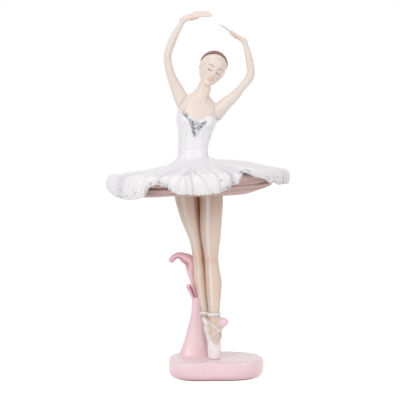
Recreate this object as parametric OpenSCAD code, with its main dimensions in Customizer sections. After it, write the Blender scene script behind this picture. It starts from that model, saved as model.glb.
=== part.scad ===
// Standing ballerina figurine, built from separately cast, glued and doweled pieces.
// Millimetres. +Z is up, -Y is the figure's front, +X is the figure's left-hand side.
// The origin is the centre of the flat rest face under the base.

/* [Base] */
// Width of the base, side to side
base_w = 78; // [66:1:98]
// Depth of the base, front to back
base_d = 61; // [50:1:76]
// Height of the cast base above its pad
base_h = 15.2; // [12:0.2:20]
// Wall of the hollow base
base_wall = 6; // [5:0.5:8]
// Roof of the hollow base, which carries the figure
base_roof = 6; // [5:0.5:8]
// Rounding of the base's top edge
base_top_r = 3; // [2:0.5:4]
// Rounding of the base's lower edge
base_low_r = 5; // [3:0.5:6]
// Thickness of the pad glued under the base
pad_t = 0.8; // [0.6:0.1:1.5]
// Distance of the pad's edge inside the base's flat underside
pad_inset = 0.6; // [0.3:0.1:2]

/* [Figure] */
// Height of a pointed foot, platform to ankle
foot_h = 35; // [30:0.5:42]
// Length of the shin, ankle to knee
shin_l = 45.5; // [38:0.5:55]
// Length of the thigh, knee to hip
thigh_l = 69.5; // [60:0.5:82]
// Height of the torso, hip to the pit of the neck
torso_h = 63; // [54:0.5:74]
// Height of the head, chin to crown
head_h = 28; // [25:0.5:32]
// Width of the head across the temples
head_w = 22.5; // [20:0.5:25]
// Sideways lean of the head, in degrees
head_lean = 25; // [10:1:30]
// Turn of the head towards the figure's left, in degrees
head_turn = 14; // [0:1:25]
// Reach of each raised arm, as a share of its natural length
arm_reach = 1; // [0.85:0.01:1.2]

/* [Legs] */
// Left leg thickness at ankle
left_ankle_w = 9.6; // [8:0.1:11]
// Left leg thickness at calf
left_calf_w = 13.5; // [11:0.1:15]
// Left leg thickness at knee
left_knee_w = 11.6; // [10:0.1:13]
// Left leg thickness at the top of the thigh
left_thigh_w = 19.2; // [16:0.1:20]
// Right leg thickness at ankle
right_ankle_w = 7.8; // [7:0.1:9.4]
// Right leg thickness at calf
right_calf_w = 11.2; // [9:0.1:12.6]
// Right leg thickness at knee
right_knee_w = 10.5; // [9:0.1:12]
// Right leg thickness at the top of the thigh
right_thigh_w = 20.2; // [16:0.1:20.6]
// Width of the shoe's flat platform
platform_w = 8.6; // [7.6:0.1:9.4]
// Width of the shoe across the toe box
toe_box_w = 10.6; // [9:0.1:11.4]
// Width of the ankle ribbons
ribbon_w = 4; // [3:0.1:5]
// Thickness of the ribbons
ribbon_t = 0.4; // [0.3:0.05:0.6]
// Clearance of the ribbons over the skin and the shoe
ribbon_fit = 0.36; // [0.3:0.02:0.5]

/* [Tutu] */
// Diameter of the tutu over its lace hem
tutu_d = 151; // [130:1:181]
// Thickness of the overskirt
overskirt_t = 2.4; // [1.8:0.1:3]
// Thickness of each underskirt
underskirt_t = 1.6; // [1.2:0.1:2]
// Width of the lace around the overskirt's hem
lace_w = 6; // [4:0.5:8]
// Thickness of the lace rim where it hangs down
lace_t = 3; // [2.4:0.1:4]
// Height that the overskirt falls from the waist to its rolled rim
tutu_fall = 9; // [6:0.5:11]
// Inset of the middle skirt's edge inside the lace hem
middle_inset = 8; // [6:0.5:12]
// Inset of the petticoat's edge inside the lace hem
petticoat_inset = 14; // [12:0.5:20]
// Height that the middle skirt falls from its seat to its edge
middle_fall = 13; // [11:0.5:15]
// Height that the petticoat falls from its seat to its edge
petticoat_fall = 16.5; // [14.5:0.5:19]
// Number of lace scallops around the hem
scallops = 36; // [30:6:60]

/* [Torso and arms] */
// Width of the skirt seat under the waist
seat_w = 25.6; // [22:0.2:28]
// Depth of the skirt seat under the waist
seat_d = 19.6; // [17:0.2:22]
// Width of the waist
waist_w = 24.2; // [20:0.2:25]
// Width of the chest below the arms
chest_w = 33.4; // [29:0.2:36]
// Depth of the chest over the bust
chest_d = 22.4; // [19:0.2:25]
// Diameter of the neck
neck_d = 9.8; // [8.5:0.1:11]
// Thickness of the upper arm
upper_arm_w = 9.8; // [8:0.1:11]
// Thickness at the elbow
elbow_w = 6.5; // [5.4:0.1:7.5]
// Thickness at the wrist
wrist_w = 4.2; // [3.6:0.1:5]
// Thickness of the hair cap over the skull
hair_t = 0.9; // [0.6:0.1:1.4]
// Diameter of the bun
bun_d = 12; // [9:0.5:15]
// Width of the shoulder straps
strap_w = 1.1; // [0.8:0.1:1.6]
// Width of the neckline trim
trim_w = 3; // [2.4:0.1:4]

/* [Pins] */
// Diameter of the rod in each leg
leg_rod_d = 2.2; // [1.8:0.1:2.6]
// Depth of the leg rods in the base
leg_rod_depth = 11; // [8:0.5:11]
// Diameter of the pin at each hip
hip_pin_d = 3; // [2:0.1:4]
// Diameter of the rod through the waist
waist_rod_d = 4; // [3:0.1:5]
// Diameter of the pin at each shoulder
shoulder_pin_d = 2; // [1.6:0.1:2.4]
// Diameter of the pin in the neck
neck_pin_d = 2; // [1.6:0.1:3]
// Diameter of the pin in the support's foot
support_pin_d = 4; // [3:0.1:5]
// Radial clearance of every pin in its hole
pin_fit = 0.05; // [0.05:0.01:0.12]
// Glue gap between two cast pieces
seam = 0.1; // [0.06:0.02:0.2]

/* [Hidden] */
$fn = 40;
around_limb = 18;
around_body = 28;
around_skirt = 72;

floor_z = pad_t + base_h;
ankle_z = floor_z + foot_h;
knee_z = ankle_z + shin_l;
hip_z = knee_z + thigh_l;
pit_z = hip_z + torso_h;
leg_top_z = hip_z - 11;
seat_low_z = hip_z - 1;
waist_cut_z = hip_z + 12;
body_x = -14.7;

function heel_z(t) = floor_z + t * foot_h;
function shin_z(t) = ankle_z + t * shin_l;
function thigh_z(t) = knee_z + t * thigh_l;
function torso_z(t) = hip_z + t * torso_h;

// Sections are [x, y, z, width, depth, turn]. The legs cross, the left one in front.
heel_turn = 30;
// The ankles stand as far apart as their ribbons need.
ankle_clear = 0.11;
ankles_apart = (left_ankle_w + right_ankle_w) / 2 + 2 * (ribbon_fit + ribbon_t) + ankle_clear;
right_ankle = [-8.2, -1.9];
left_ankle = right_ankle + ankles_apart * unit([0.92, -1]);
left_foot = [
  [-1.2, -12, floor_z, platform_w * 0.9, platform_w, heel_turn],
  [-1.2, -12, heel_z(0.05), platform_w + 0.8, toe_box_w - 0.8, heel_turn],
  [-1.1, -11.8, heel_z(0.3), toe_box_w, toe_box_w + 0.4, heel_turn],
  [-0.6, -11, heel_z(0.58), toe_box_w, toe_box_w + 0.2, heel_turn],
  [0.8, -10, heel_z(0.73), toe_box_w + 2.4, toe_box_w - 0.6, heel_turn],
  [2, -8.4, heel_z(0.82), toe_box_w + 6.4, toe_box_w - 1.2, heel_turn],
  [0.6, -9, heel_z(0.91), left_ankle_w + 3.4, left_ankle_w - 0.2, heel_turn],
];
left_shin = [
  [left_ankle[0], left_ankle[1], ankle_z, left_ankle_w, left_ankle_w, 0],
  [left_ankle[0], left_ankle[1] + 0.1, shin_z(0.1), left_ankle_w, left_ankle_w, 0],
  [-1.3, -7, shin_z(0.28), left_ankle_w + 1.6, left_ankle_w + 2, 0],
  [-1.4, -5.8, shin_z(0.45), left_calf_w - 0.6, left_calf_w, 0],
  [-1.5, -5, shin_z(0.62), left_calf_w, left_calf_w + 0.6, 0],
  [-2.5, -4.5, shin_z(0.82), left_knee_w + 0.8, left_knee_w + 1.4, 0],
  [-3.3, -4.4, knee_z, left_knee_w, left_knee_w + 0.4, 0],
  [-3.6, -4.5, thigh_z(0.12), left_knee_w + 1.8, left_knee_w + 1.8, 0],
  [-3.6, -4.6, thigh_z(0.25), left_thigh_w - 3.4, left_thigh_w - 3, 0],
  [-3.3, -4.2, thigh_z(0.47), left_thigh_w - 1.8, left_thigh_w - 1.2, 0],
  [-3, -3.5, thigh_z(0.7), left_thigh_w - 0.6, left_thigh_w, 0],
  [-3.8, -3, leg_top_z, left_thigh_w, left_thigh_w + 0.8, 0],
];
right_foot = [
  [-1, -1.9, floor_z, platform_w * 0.86, platform_w * 0.9, 80],
  [-1, -1.9, heel_z(0.05), platform_w, platform_w + 0.4, 80],
  [-1.3, -0.9, heel_z(0.3), toe_box_w - 0.8, toe_box_w - 1.2, 80],
  [-3.5, -0.5, heel_z(0.58), toe_box_w - 0.8, toe_box_w - 1.4, 80],
  [-4.9, -0.2, heel_z(0.73), toe_box_w + 1, toe_box_w - 1.8, 80],
  [-6.1, 0.4, heel_z(0.82), toe_box_w + 4, toe_box_w - 2.2, 80],
  [-7.3, -0.7, heel_z(0.91), right_ankle_w + 2.6, right_ankle_w + 0.2, 80],
];
right_shin = [
  [right_ankle[0], right_ankle[1], ankle_z, right_ankle_w, right_ankle_w, 0],
  [right_ankle[0] - 0.2, right_ankle[1] + 0.1, shin_z(0.1), right_ankle_w, right_ankle_w, 0],
  [-9.9, 0, shin_z(0.28), right_ankle_w + 1, right_ankle_w + 1.2, 0],
  [-11, 1.5, shin_z(0.45), right_calf_w - 0.8, right_calf_w, 0],
  [-12, 2.4, shin_z(0.62), right_calf_w, right_calf_w + 1, 0],
  [-12.8, 2.2, shin_z(0.82), right_knee_w + 0.2, right_knee_w + 1.2, 0],
  [-13.6, 1.9, knee_z, right_knee_w, right_knee_w + 0.8, 0],
  [-14.7, 2, thigh_z(0.12), right_knee_w + 0.4, right_knee_w + 1.4, 0],
  [-16.4, 2, thigh_z(0.25), right_knee_w + 1.6, right_knee_w + 2.4, 0],
  [-20.8, 1.4, thigh_z(0.47), right_thigh_w - 4.2, right_thigh_w - 3.8, 0],
  [-23.6, 1, thigh_z(0.7), right_thigh_w - 0.6, right_thigh_w - 0.8, 0],
  [-24.8, 0.5, leg_top_z, right_thigh_w, right_thigh_w, 0],
];
hips = [
  [body_x + 0.4, -1.2, leg_top_z + seam, seat_w + 14, seat_d + 1.4, 0],
  [body_x + 0.2, -0.8, leg_top_z + 4, seat_w + 12, seat_d + 1.6, 0],
  [body_x, -0.3, seat_low_z - 3, seat_w + 5, seat_d + 1, 0],
];
torso = [
  [-17.4, 0, waist_cut_z + seam, waist_w + 6.6, waist_w - 0.6, 0],
  [-17.7, 0, torso_z(0.245), waist_w + 3, waist_w - 4, 0],
  [-18.2, 0, torso_z(0.31), waist_w + 0.4, waist_w - 6, 0],
  [-18.3, 0, torso_z(0.38), waist_w, waist_w - 6.8, 0],
  [-17.2, -0.3, torso_z(0.5), waist_w + 1.8, waist_w - 5.4, 0],
  [-16.4, -0.8, torso_z(0.59), chest_w - 4.8, chest_d - 1.6, 0],
  [-15.5, -1.2, torso_z(0.68), chest_w - 1.4, chest_d, 0],
  [-15.3, -0.8, torso_z(0.75), chest_w, chest_d - 0.4, 0],
  [-14.6, -0.3, torso_z(0.83), chest_w, chest_d - 2.6, 0],
  [-14.5, 0.2, torso_z(0.905), chest_w - 1.6, chest_d - 5.4, 0],
  [-16, 0.6, torso_z(0.97), chest_w - 8, chest_d - 8.4, 0],
  [-16.4, 0.8, torso_z(1.02), neck_d + 9.6, chest_d - 10.6, 0],
  [-12.6, 0.9, torso_z(1.06), neck_d + 4, neck_d + 1, 0],
  [-9.9, 0.8, torso_z(1.11), neck_d + 0.7, neck_d + 0.4, 0],
  [-8.4, 0.7, torso_z(1.17), neck_d, neck_d, 0],
];

// Armholes: [centre, outward normal]
right_armhole = [[-28, 0.3, torso_z(0.945)], [-0.83, 0, 0.56]];
left_armhole = [[0.8, 0.3, torso_z(0.81)], [0.975, 0, 0.22]];

// Arm sections are [x, y, z, thickness, depth], swept along the arm's curve.
function raise(from, by) = concat([from[0] + by[0] * arm_reach, from[1] + by[1] * arm_reach,
  from[2] + by[2] * arm_reach], [by[3], by[4]]);
right_root = [-24.5, 0.5, pit_z - 6];
right_arm_path = [
  raise(right_root, [3, 0.4, -6, upper_arm_w + 3, upper_arm_w + 3]),
  raise(right_root, [-1, 0, 1, upper_arm_w + 3, upper_arm_w + 2.6]),
  raise(right_root, [-4.4, -0.8, 7.6, upper_arm_w + 2, upper_arm_w + 1]),
  raise(right_root, [-7.9, -2.2, 15.3, upper_arm_w + 0.2, upper_arm_w - 0.6]),
  raise(right_root, [-11.6, -5.4, 23.5, upper_arm_w - 2.2, upper_arm_w - 2]),
  raise(right_root, [-14.1, -8, 32.9, elbow_w + 0.3, elbow_w + 0.5]),
  raise(right_root, [-14.7, -9.3, 40.3, elbow_w, elbow_w + 0.2]),
  raise(right_root, [-12.8, -10.6, 47, elbow_w, elbow_w]),
  raise(right_root, [-9.5, -12.2, 55.2, elbow_w - 0.2, elbow_w - 0.4]),
  raise(right_root, [-4.6, -14, 64, wrist_w + 0.5, wrist_w + 0.8]),
  raise(right_root, [-1, -15, 69.4, wrist_w, wrist_w + 0.6]),
  raise(right_root, [2.6, -15.8, 72, wrist_w + 0.2, wrist_w + 2.2]),
  raise(right_root, [8, -16.8, 72.8, wrist_w + 0.4, wrist_w + 3]),
  raise(right_root, [14.5, -17.8, 72.4, 3.8, wrist_w + 2]),
  raise(right_root, [19.6, -18.4, 71.8, 3, wrist_w]),
  raise(right_root, [21, -18.5, 71.6, 1.6, 1.8]),
];
left_root = [-0.4, 0.5, pit_z - 12.6];
left_arm_path = [
  raise(left_root, [-5, 0.3, -4.4, upper_arm_w + 3.4, upper_arm_w + 3]),
  raise(left_root, [0.4, 0, 0.4, upper_arm_w + 3.4, upper_arm_w + 2.4]),
  raise(left_root, [5, -1, 5, upper_arm_w + 1.8, upper_arm_w + 1]),
  raise(left_root, [9.4, -2, 9.2, upper_arm_w + 0.6, upper_arm_w]),
  raise(left_root, [15.2, -3.6, 14, upper_arm_w - 1.4, upper_arm_w - 1.6]),
  raise(left_root, [21.7, -6.4, 21.5, elbow_w + 0.2, elbow_w + 0.6]),
  raise(left_root, [27.6, -8.6, 28.6, elbow_w + 0.3, elbow_w + 0.4]),
  raise(left_root, [29.1, -9.4, 34, elbow_w, elbow_w + 0.2]),
  raise(left_root, [28.2, -10.6, 40.6, elbow_w - 0.3, elbow_w]),
  raise(left_root, [26.5, -12, 48.8, elbow_w - 1, elbow_w - 0.8]),
  raise(left_root, [24.3, -13.4, 55.7, wrist_w + 0.2, wrist_w + 0.6]),
  raise(left_root, [22, -14.4, 60.6, wrist_w, wrist_w + 0.6]),
  raise(left_root, [17.4, -15.4, 63.4, wrist_w + 0.6, wrist_w + 2.4]),
  raise(left_root, [11.2, -16.6, 66.6, wrist_w, wrist_w + 3]),
  raise(left_root, [6, -17.4, 69.6, 3.2, wrist_w + 2]),
  raise(left_root, [3.8, -17.8, 71, 1.6, 1.8]),
];

// The head's own frame: centre, then the direction of its long axis.
head_at = [-1.4 + (head_h - 28) * sin(head_lean) / 2, 0, pit_z + 25 + (head_h - 28) / 2];
head_bulk = [
  [0, -5.4, -0.485 * head_h, head_w * 0.22, head_w * 0.2, 0],
  [0, -4.6, -0.42 * head_h, head_w * 0.44, head_w * 0.42, 0],
  [0, -2.4, -0.29 * head_h, head_w * 0.74, head_w * 0.84, 0],
  [0, -0.6, -0.1 * head_h, head_w * 0.92, head_w * 1.08, 0],
  [0, 0, 0.08 * head_h, head_w, head_w * 1.18, 0],
  [0, 0.3, 0.26 * head_h, head_w * 0.93, head_w * 1.1, 0],
  [0, 0.4, 0.4 * head_h, head_w * 0.7, head_w * 0.82, 0],
  [0, 0.4, 0.47 * head_h, head_w * 0.4, head_w * 0.48, 0],
  [0, 0.4, 0.495 * head_h, head_w * 0.12, head_w * 0.14, 0],
];
neck_top_z = -0.2 * head_h;
neck_low = [-8.4, 0.7, torso_z(1.165)];
hairline_tip = 60;

// The support rises from the base as one stem and parts into two curled plumes.
stem_split_z = floor_z + 46;
function stem_z(t) = floor_z + seam + t * (stem_split_z - floor_z - seam);
stem = [
  [-17.6, 6, stem_z(0), 27, 26, 0],
  [-17.3, 6, stem_z(0.06), 23, 21, 0],
  [-17.1, 5.6, stem_z(0.25), 17.6, 15.6, 0],
  [-16.6, 5, stem_z(0.5), 12.4, 12, 0],
  [-16.4, 4.6, stem_z(0.75), 8, 11, 0],
  [-16.9, 4.6, stem_z(1), 6, 11.4, 0],
];
stem_pin = [-17.2, 6];
short_plume_path = [
  [-16.9, 1.9, stem_split_z + seam, 5.4, 5.4],
  [-17.8, 1.7, stem_split_z + 3, 5, 5.6],
  [-19.2, 1.2, stem_split_z + 7, 5.8, 6.4],
  [-20.4, 1, stem_split_z + 10, 6.2, 7],
  [-22.4, 0.6, stem_split_z + 11.6, 4.6, 6],
  [-24, 0.2, stem_split_z + 10.8, 1.8, 3],
];
tall_plume_path = [
  [-16.9, 7.6, stem_split_z + seam, 5, 4.8],
  [-17.2, 8.8, stem_split_z + 6, 5, 5.6],
  [-18.6, 10.4, stem_split_z + 16, 6, 7.6],
  [-20.2, 10, stem_split_z + 24, 8, 10.6],
  [-22.4, 8.6, stem_split_z + 30.6, 9.4, 13],
  [-25.6, 8, stem_split_z + 34.6, 9.4, 14],
  [-30, 7.2, stem_split_z + 36.4, 7.4, 13.6],
  [-34, 6.6, stem_split_z + 34.6, 5.6, 11],
  [-36.6, 6.2, stem_split_z + 31.6, 2.4, 5],
];

// Leg rods run from inside the base to the calf; the other pins cross a glued joint.
left_rod_ends = [[-1.2, -12.2, floor_z - leg_rod_depth], [-1.6, -5.4, shin_z(0.55)]];
right_rod_ends = [[0.9, -3.2, floor_z - leg_rod_depth], [-11, 1, shin_z(0.43)]];
left_hip_ends = [[-4.6, -2.4, leg_top_z - 10], [-4.6, -2.4, leg_top_z + 7]];
right_hip_ends = [[-23.6, 0.4, leg_top_z - 10], [-23.6, 0.4, leg_top_z + 7]];
waist_ends = [[body_x - 1.2, 0, hip_z - 4], [-17.2, 0, torso_z(0.52)]];
right_shoulder_ends = [right_root + [1.2, 0.2, -2.4], right_root + [-6.2, -1.2, 11.4]];
left_shoulder_ends = [left_root + [-3.6, 0.2, -3], left_root + [7.4, -1.4, 7.4]];
neck_pin_l = 12;

// Waves of the hem: [azimuth from the front, half width, lift, sharpness]
hem_waves = [
  [-54, 17, -5.6, 2], [-28, 5.5, 5.4, 2], [1, 19, -5.4, 4], [30, 7.5, 8.6, 2], [66, 13, -4.2, 2],
  [104, 12, -3, 2], [128, 7, 6, 2], [156, 16, -4.6, 4], [186, 7, 5, 2], [214, 15, -4.8, 4],
  [240, 7, 5.6, 2], [258, 9, -2.6, 2],
];
hem_mid_z = hip_z - 8;
hem_tilt = 6;

// ---------- curves ----------
function unit(v) = v / norm(v);
function inside(i, n) = max(0, min(n - 1, i));
function spline(a, b, c, d, t) = 0.5 * (2 * b + (c - a) * t + (2 * a - 5 * b + 4 * c - d) * t * t
  + (3 * b - a - 3 * c + d) * t * t * t);
function at(list, t) = let (n = len(list), i = inside(floor(t), n - 1))
  spline(list[inside(i - 1, n)], list[i], list[i + 1], list[inside(i + 2, n)], t - i);
function smooth(list, steps) = [for (k = [0 : steps * (len(list) - 1)]) at(list, k / steps)];
function xyz(s) = [s[0], s[1], s[2]];

// A point of a level section at angle q, moved outwards by off
function ring_pt(s, q, off) = let (u = (s[3] / 2 + off) * cos(q), v = (s[4] / 2 + off) * sin(q))
  [s[0] + u * cos(s[5]) - v * sin(s[5]), s[1] + u * sin(s[5]) + v * cos(s[5]), s[2]];
function ring(s, n, off = 0) = [for (i = [0 : n - 1]) ring_pt(s, 360 * i / n, off)];
function stack(list, n, steps, off = 0) = [for (s = smooth(list, steps)) ring(s, n, off)];

// Rings square to a curve, with their depth kept towards +Y
function sweep_ring(s, along, n) = let (side = unit(cross([0, 1, 0], along)), front = cross(along, side))
  [for (i = [0 : n - 1]) xyz(s) + side * s[3] / 2 * cos(360 * i / n) + front * s[4] / 2 * sin(360 * i / n)];
function sweep(list, n, steps, start) = let (p = smooth(list, steps), last = len(p) - 1)
  [for (k = [0 : last]) sweep_ring(p[k],
    k == 0 && start != undef ? start : unit(xyz(p[min(k + 1, last)]) - xyz(p[max(k - 1, 0)])), n)];

// A flat band that follows [point, outward normal] pairs
function band(path, wide, lift, thick) = let (last = len(path) - 1)
  [for (k = [0 : last]) let (
    p = path[k][0],
    out = path[k][1],
    along = unit(path[min(k + 1, last)][0] - path[max(k - 1, 0)][0]),
    across = unit(cross(out, along)) * wide / 2)
    [p + across + out * lift, p + across + out * (lift + thick),
     p - across + out * (lift + thick), p - across + out * lift]];

module loft(rings) {
  m = len(rings);
  n = len(rings[0]);
  sides = [for (j = [0 : m - 2]) for (i = [0 : n - 1]) let (a = j * n + i, b = j * n + (i + 1) % n)
    each [[a, a + n, b], [b, a + n, b + n]]];
  ends = [[for (i = [0 : n - 1]) i], [for (i = [n - 1 : -1 : 0]) (m - 1) * n + i]];
  polyhedron([for (r = rings) each r], concat(sides, ends));
}

module closed_loft(rings) {
  m = len(rings);
  n = len(rings[0]);
  sides = [for (j = [0 : m - 1]) for (i = [0 : n - 1]) let (
    a = j * n + i, b = j * n + (i + 1) % n, c = (j + 1) % m * n + i, d = (j + 1) % m * n + (i + 1) % n)
    each [[a, c, b], [b, c, d]]];
  polyhedron([for (r = rings) each r], sides);
}

module rod(ends, d) {
  v = ends[1] - ends[0];
  translate(ends[0])
    rotate([0, acos(v[2] / norm(v)), atan2(v[1], v[0])])
    cylinder(d = d, h = norm(v));
}

module hole(ends, d) {
  rod(ends, d + 2 * pin_fit);
}

// A block on the far side of a plane, given by a point and its outward normal
module beyond(plane, gap, size = 60) {
  n = unit(plane[1]);
  translate(plane[0] + n * gap)
    rotate([0, acos(n[2]), atan2(n[1], n[0])])
    translate([-size / 2, -size / 2, 0])
    cube(size);
}

// ---------- base and support ----------
function base_edge(q, inset) = let (
    c = cos(q), s = sin(q),
    round = pow(pow(abs(c), 2.5) + pow(abs(s), 2.5), -1 / 2.5),
    lobe = 1 + 0.07 * exp(-pow((q - 238) / 24, 2)) - 0.04 * exp(-pow((q - 262) / 14, 2))
      + 0.03 * exp(-pow((q - 118) / 26, 2)),
    p = [base_w / 2 * c, base_d / 2 * s] * round * lobe)
  p * (1 - inset / norm(p));
function base_outline(inset) = [for (q = [0 : 7.5 : 359]) base_edge(q, inset)];
function base_ring(inset, z) = [for (p = base_outline(inset)) [p[0], p[1], z]];

module base_cavity() {
  roof_z = floor_z - base_roof;
  difference() {
    translate([0, 0, pad_t - 1])
      linear_extrude(roof_z - pad_t + 1)
      polygon(base_outline(base_low_r + base_wall));
    for (p = [left_rod_ends[0], right_rod_ends[0], [stem_pin[0], stem_pin[1], 0]])
      translate([p[0], p[1], 0])
        cylinder(d = support_pin_d + 8, h = roof_z + 1);
  }
}

module base() {
  color("pink") difference() {
    loft(concat(
      [for (a = [0 : 22.5 : 90]) base_ring(base_low_r * (1 - sin(a)), pad_t + seam + base_low_r * (1 - cos(a)))],
      [for (a = [0 : 30 : 90]) base_ring(base_top_r * (1 - cos(a)), floor_z - base_top_r * (1 - sin(a)))]));
    base_cavity();
    hole(left_rod_ends, leg_rod_d);
    hole(right_rod_ends, leg_rod_d);
    hole(stem_pin_ends(), support_pin_d);
  }
}

module base_pad() {
  color("dimgray")
    linear_extrude(pad_t)
    polygon(base_outline(base_low_r + pad_inset));
}

function stem_pin_ends() = [[stem_pin[0], stem_pin[1], floor_z - 8], [stem_pin[0], stem_pin[1], floor_z + 14]];

module support_stem() {
  color("pink") difference() {
    loft(stack(stem, around_limb, 4));
    hole(stem_pin_ends(), support_pin_d);
    right_shoe_room();
  }
}

module short_plume() {
  color("pink") loft(sweep(short_plume_path, 14, 4, [0, 0, 1]));
}

module tall_plume() {
  color("pink") loft(sweep(tall_plume_path, 14, 4, [0, 0, 1]));
}

module support_pin() {
  color("silver") rod(stem_pin_ends(), support_pin_d);
}

// ---------- legs and shoes ----------
// The shoe ends at a slanting plane, low on the instep and high behind the heel.
function throat(heel) = [[heel[0], heel[1], heel_z(0.62)], [-cos(heel[2]), -sin(heel[2]), 0.72]];
left_throat = throat([-0.6, -11, heel_turn]);
right_throat = throat([-4, -0.8, 80]);

module whole_leg(foot, shin) {
  loft(stack(concat(foot, shin), around_limb, 3));
}

module shoe(foot, shin, plane, rod_ends) {
  color("mistyrose") difference() {
    translate([0, 0, seam])
      loft(stack(concat(foot, [shin[0], shin[1]]), around_limb, 3));
    beyond(plane, -seam);
    hole(rod_ends, leg_rod_d);
  }
}

module leg(foot, shin, plane, rod_ends, hip_ends) {
  color("bisque") difference() {
    intersection() {
      whole_leg(foot, shin);
      union() {
        beyond(plane, 0, 80);
        translate([-60, -60, ankle_z - 1])
          cube([120, 120, 200]);
      }
    }
    hole(rod_ends, leg_rod_d);
    hole(hip_ends, hip_pin_d);
  }
}

module right_shoe_room() {
  translate([0, 0, -1])
    loft(stack(concat(right_foot, [right_shin[0], right_shin[1]]), around_limb, 3, 0.3));
}

module left_shoe() {
  shoe(left_foot, left_shin, left_throat, left_rod_ends);
}

module right_shoe() {
  shoe(right_foot, right_shin, right_throat, right_rod_ends);
}

module left_leg() {
  leg(left_foot, left_shin, left_throat, left_rod_ends, left_hip_ends);
}

module right_leg() {
  leg(right_foot, right_shin, right_throat, right_rod_ends, right_hip_ends);
}

// A ribbon's path over the foot, from one height and angle to another
function over_foot(sections, from, to, steps) = [for (k = [0 : steps]) let (
    t = from[0] + (to[0] - from[0]) * k / steps,
    q = from[1] + (to[1] - from[1]) * k / steps,
    s = at(sections, t))
  [ring_pt(s, q - s[5], 0), [cos(q), sin(q), 0]]];

module ribbons(foot, shin, ankle_w) {
  sections = concat(foot, shin);
  color("lavenderblush") {
    translate([shin[0][0], shin[0][1], ankle_z])
      difference() {
        cylinder(d = ankle_w + 2 * (ribbon_fit + ribbon_t), h = ribbon_w);
        translate([0, 0, -1])
          cylinder(d = ankle_w + 2 * ribbon_fit, h = ribbon_w + 2);
      }
    loft(band(over_foot(sections, [6.1, 205], [3.9, 340], 10), ribbon_w * 0.45, ribbon_fit, ribbon_t));
  }
}

module left_ribbons() {
  ribbons(left_foot, left_shin, left_ankle_w);
}

module right_ribbons() {
  ribbons(right_foot, right_shin, right_ankle_w);
}

module left_leg_rod() {
  color("silver") rod(left_rod_ends, leg_rod_d);
}

module right_leg_rod() {
  color("silver") rod(right_rod_ends, leg_rod_d);
}

module left_hip_pin() {
  color("silver") rod(left_hip_ends, hip_pin_d);
}

module right_hip_pin() {
  color("silver") rod(right_hip_ends, hip_pin_d);
}

module pelvis() {
  color("white") difference() {
    loft(concat(stack(hips, around_body, 3), [
      ring([body_x, 0, seat_low_z, seat_w, seat_d, 0], around_body),
      ring([body_x, 0, waist_cut_z, seat_w, seat_d, 0], around_body),
    ]));
    hole(left_hip_ends, hip_pin_d);
    hole(right_hip_ends, hip_pin_d);
    hole(waist_ends, waist_rod_d);
  }
}

// ---------- tutu ----------
function turn_gap(a, b) = let (d = (a - b) % 360) min(abs(d), 360 - abs(d));
function hem_wave(q) = let (parts = [for (w = hem_waves) w[2] * exp(-pow(turn_gap(q, w[0]) / w[1], w[3]))])
  parts * [for (p = parts) 1];
function hem_z(q) = hem_mid_z + hem_tilt * sin(q) + hem_wave(q);
function seat_edge(q) = let (c = sin(q), s = cos(q))
  1 / sqrt(pow(c / (seat_w / 2 + seam), 2) + pow(s / (seat_d / 2 + seam), 2));
function spot(q, r, z) = [body_x + r * sin(q), -r * cos(q), z];

// Top of the overskirt at share t of the way out, on azimuth q: it stays high out to the rim,
// and where the hem lifts, the rim rises with it.
function skirt_top(q, t) = let (
    crown_z = waist_cut_z - seam,
    shoulder_z = crown_z - tutu_fall + hem_tilt * 0.4 * sin(q),
    rim_z = max(shoulder_z, hem_z(q) + overskirt_t + 1))
  crown_z + (rim_z - crown_z) * t + 1.4 * sin(180 * t) * sin(q);

// A skirt from its seat on the pelvis, between low and high, out to reach
module skirt(low, high, reach, top, thick, shares) {
  closed_loft([for (q = [0 : 360 / around_skirt : 359]) let (
      in_r = seat_edge(q),
      span = reach - in_r,
      n = len(shares))
    concat(
      [spot(q, in_r, high)],
      [for (t = shares) spot(q, in_r + span * t, top(q, t))],
      [for (k = [n - 1 : -1 : 0]) spot(q, in_r + span * shares[k], top(q, shares[k]) - thick)],
      [spot(q, in_r, low)])]);
}

over_r = tutu_d / 2 - lace_w;
out_steps = [0.12, 0.3, 0.5, 0.7, 0.85, 0.94, 1];
under_steps = [0.15, 0.4, 0.65, 0.85, 1];

module overskirt() {
  color("white")
    skirt(waist_cut_z - 4.2, waist_cut_z - seam, over_r, function(q, t) skirt_top(q, t), overskirt_t, out_steps);
}

// Each underskirt hangs from its own part of the seat and falls more steeply than the one above.
function pleat(q, t) = 0.5 * t * cos(q * scallops / 2);
function middle_top(q, t) = waist_cut_z - 4.5 - middle_fall * t + 1.5 * t * sin(q) + pleat(q, t);
function petticoat_top(q, t) = waist_cut_z - 8.7 - petticoat_fall * t + 1.5 * t * sin(q) - pleat(q, t);

module middle_skirt() {
  color("thistle")
    skirt(waist_cut_z - 8, waist_cut_z - 4.4, tutu_d / 2 - middle_inset,
      function(q, t) middle_top(q, t), underskirt_t, under_steps);
}

module petticoat() {
  color("rosybrown")
    skirt(waist_cut_z - 12.4, waist_cut_z - 8.6, tutu_d / 2 - petticoat_inset,
      function(q, t) petticoat_top(q, t), underskirt_t, under_steps);
}

// The lace rolls over the overskirt's rim, hangs to the hem and turns up inside.
module hem_lace() {
  color("whitesmoke")
    closed_loft([for (q = [0 : 360 / around_skirt : 359]) let (
        r_in = over_r + seam,
        r_out = tutu_d / 2 - 0.4 + 0.4 * cos(q * scallops),
        z = skirt_top(q, 1),
        low = min(hem_z(q), z - overskirt_t - 0.4))
      [spot(q, r_in, z), spot(q, r_out - lace_w * 0.4, z - 0.6), spot(q, r_out - 0.4, z - 2.2),
       spot(q, r_out, (z + low) / 2), spot(q, r_out - 0.5, low + 0.5), spot(q, r_out - 1.6, low),
       spot(q, r_out - lace_t, low + 0.8), spot(q, r_out - lace_t, max(z - 4.5, low + 1.2)),
       spot(q, r_in, z - overskirt_t)]]);
}

module waist_rod() {
  color("silver") rod(waist_ends, waist_rod_d);
}

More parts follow.
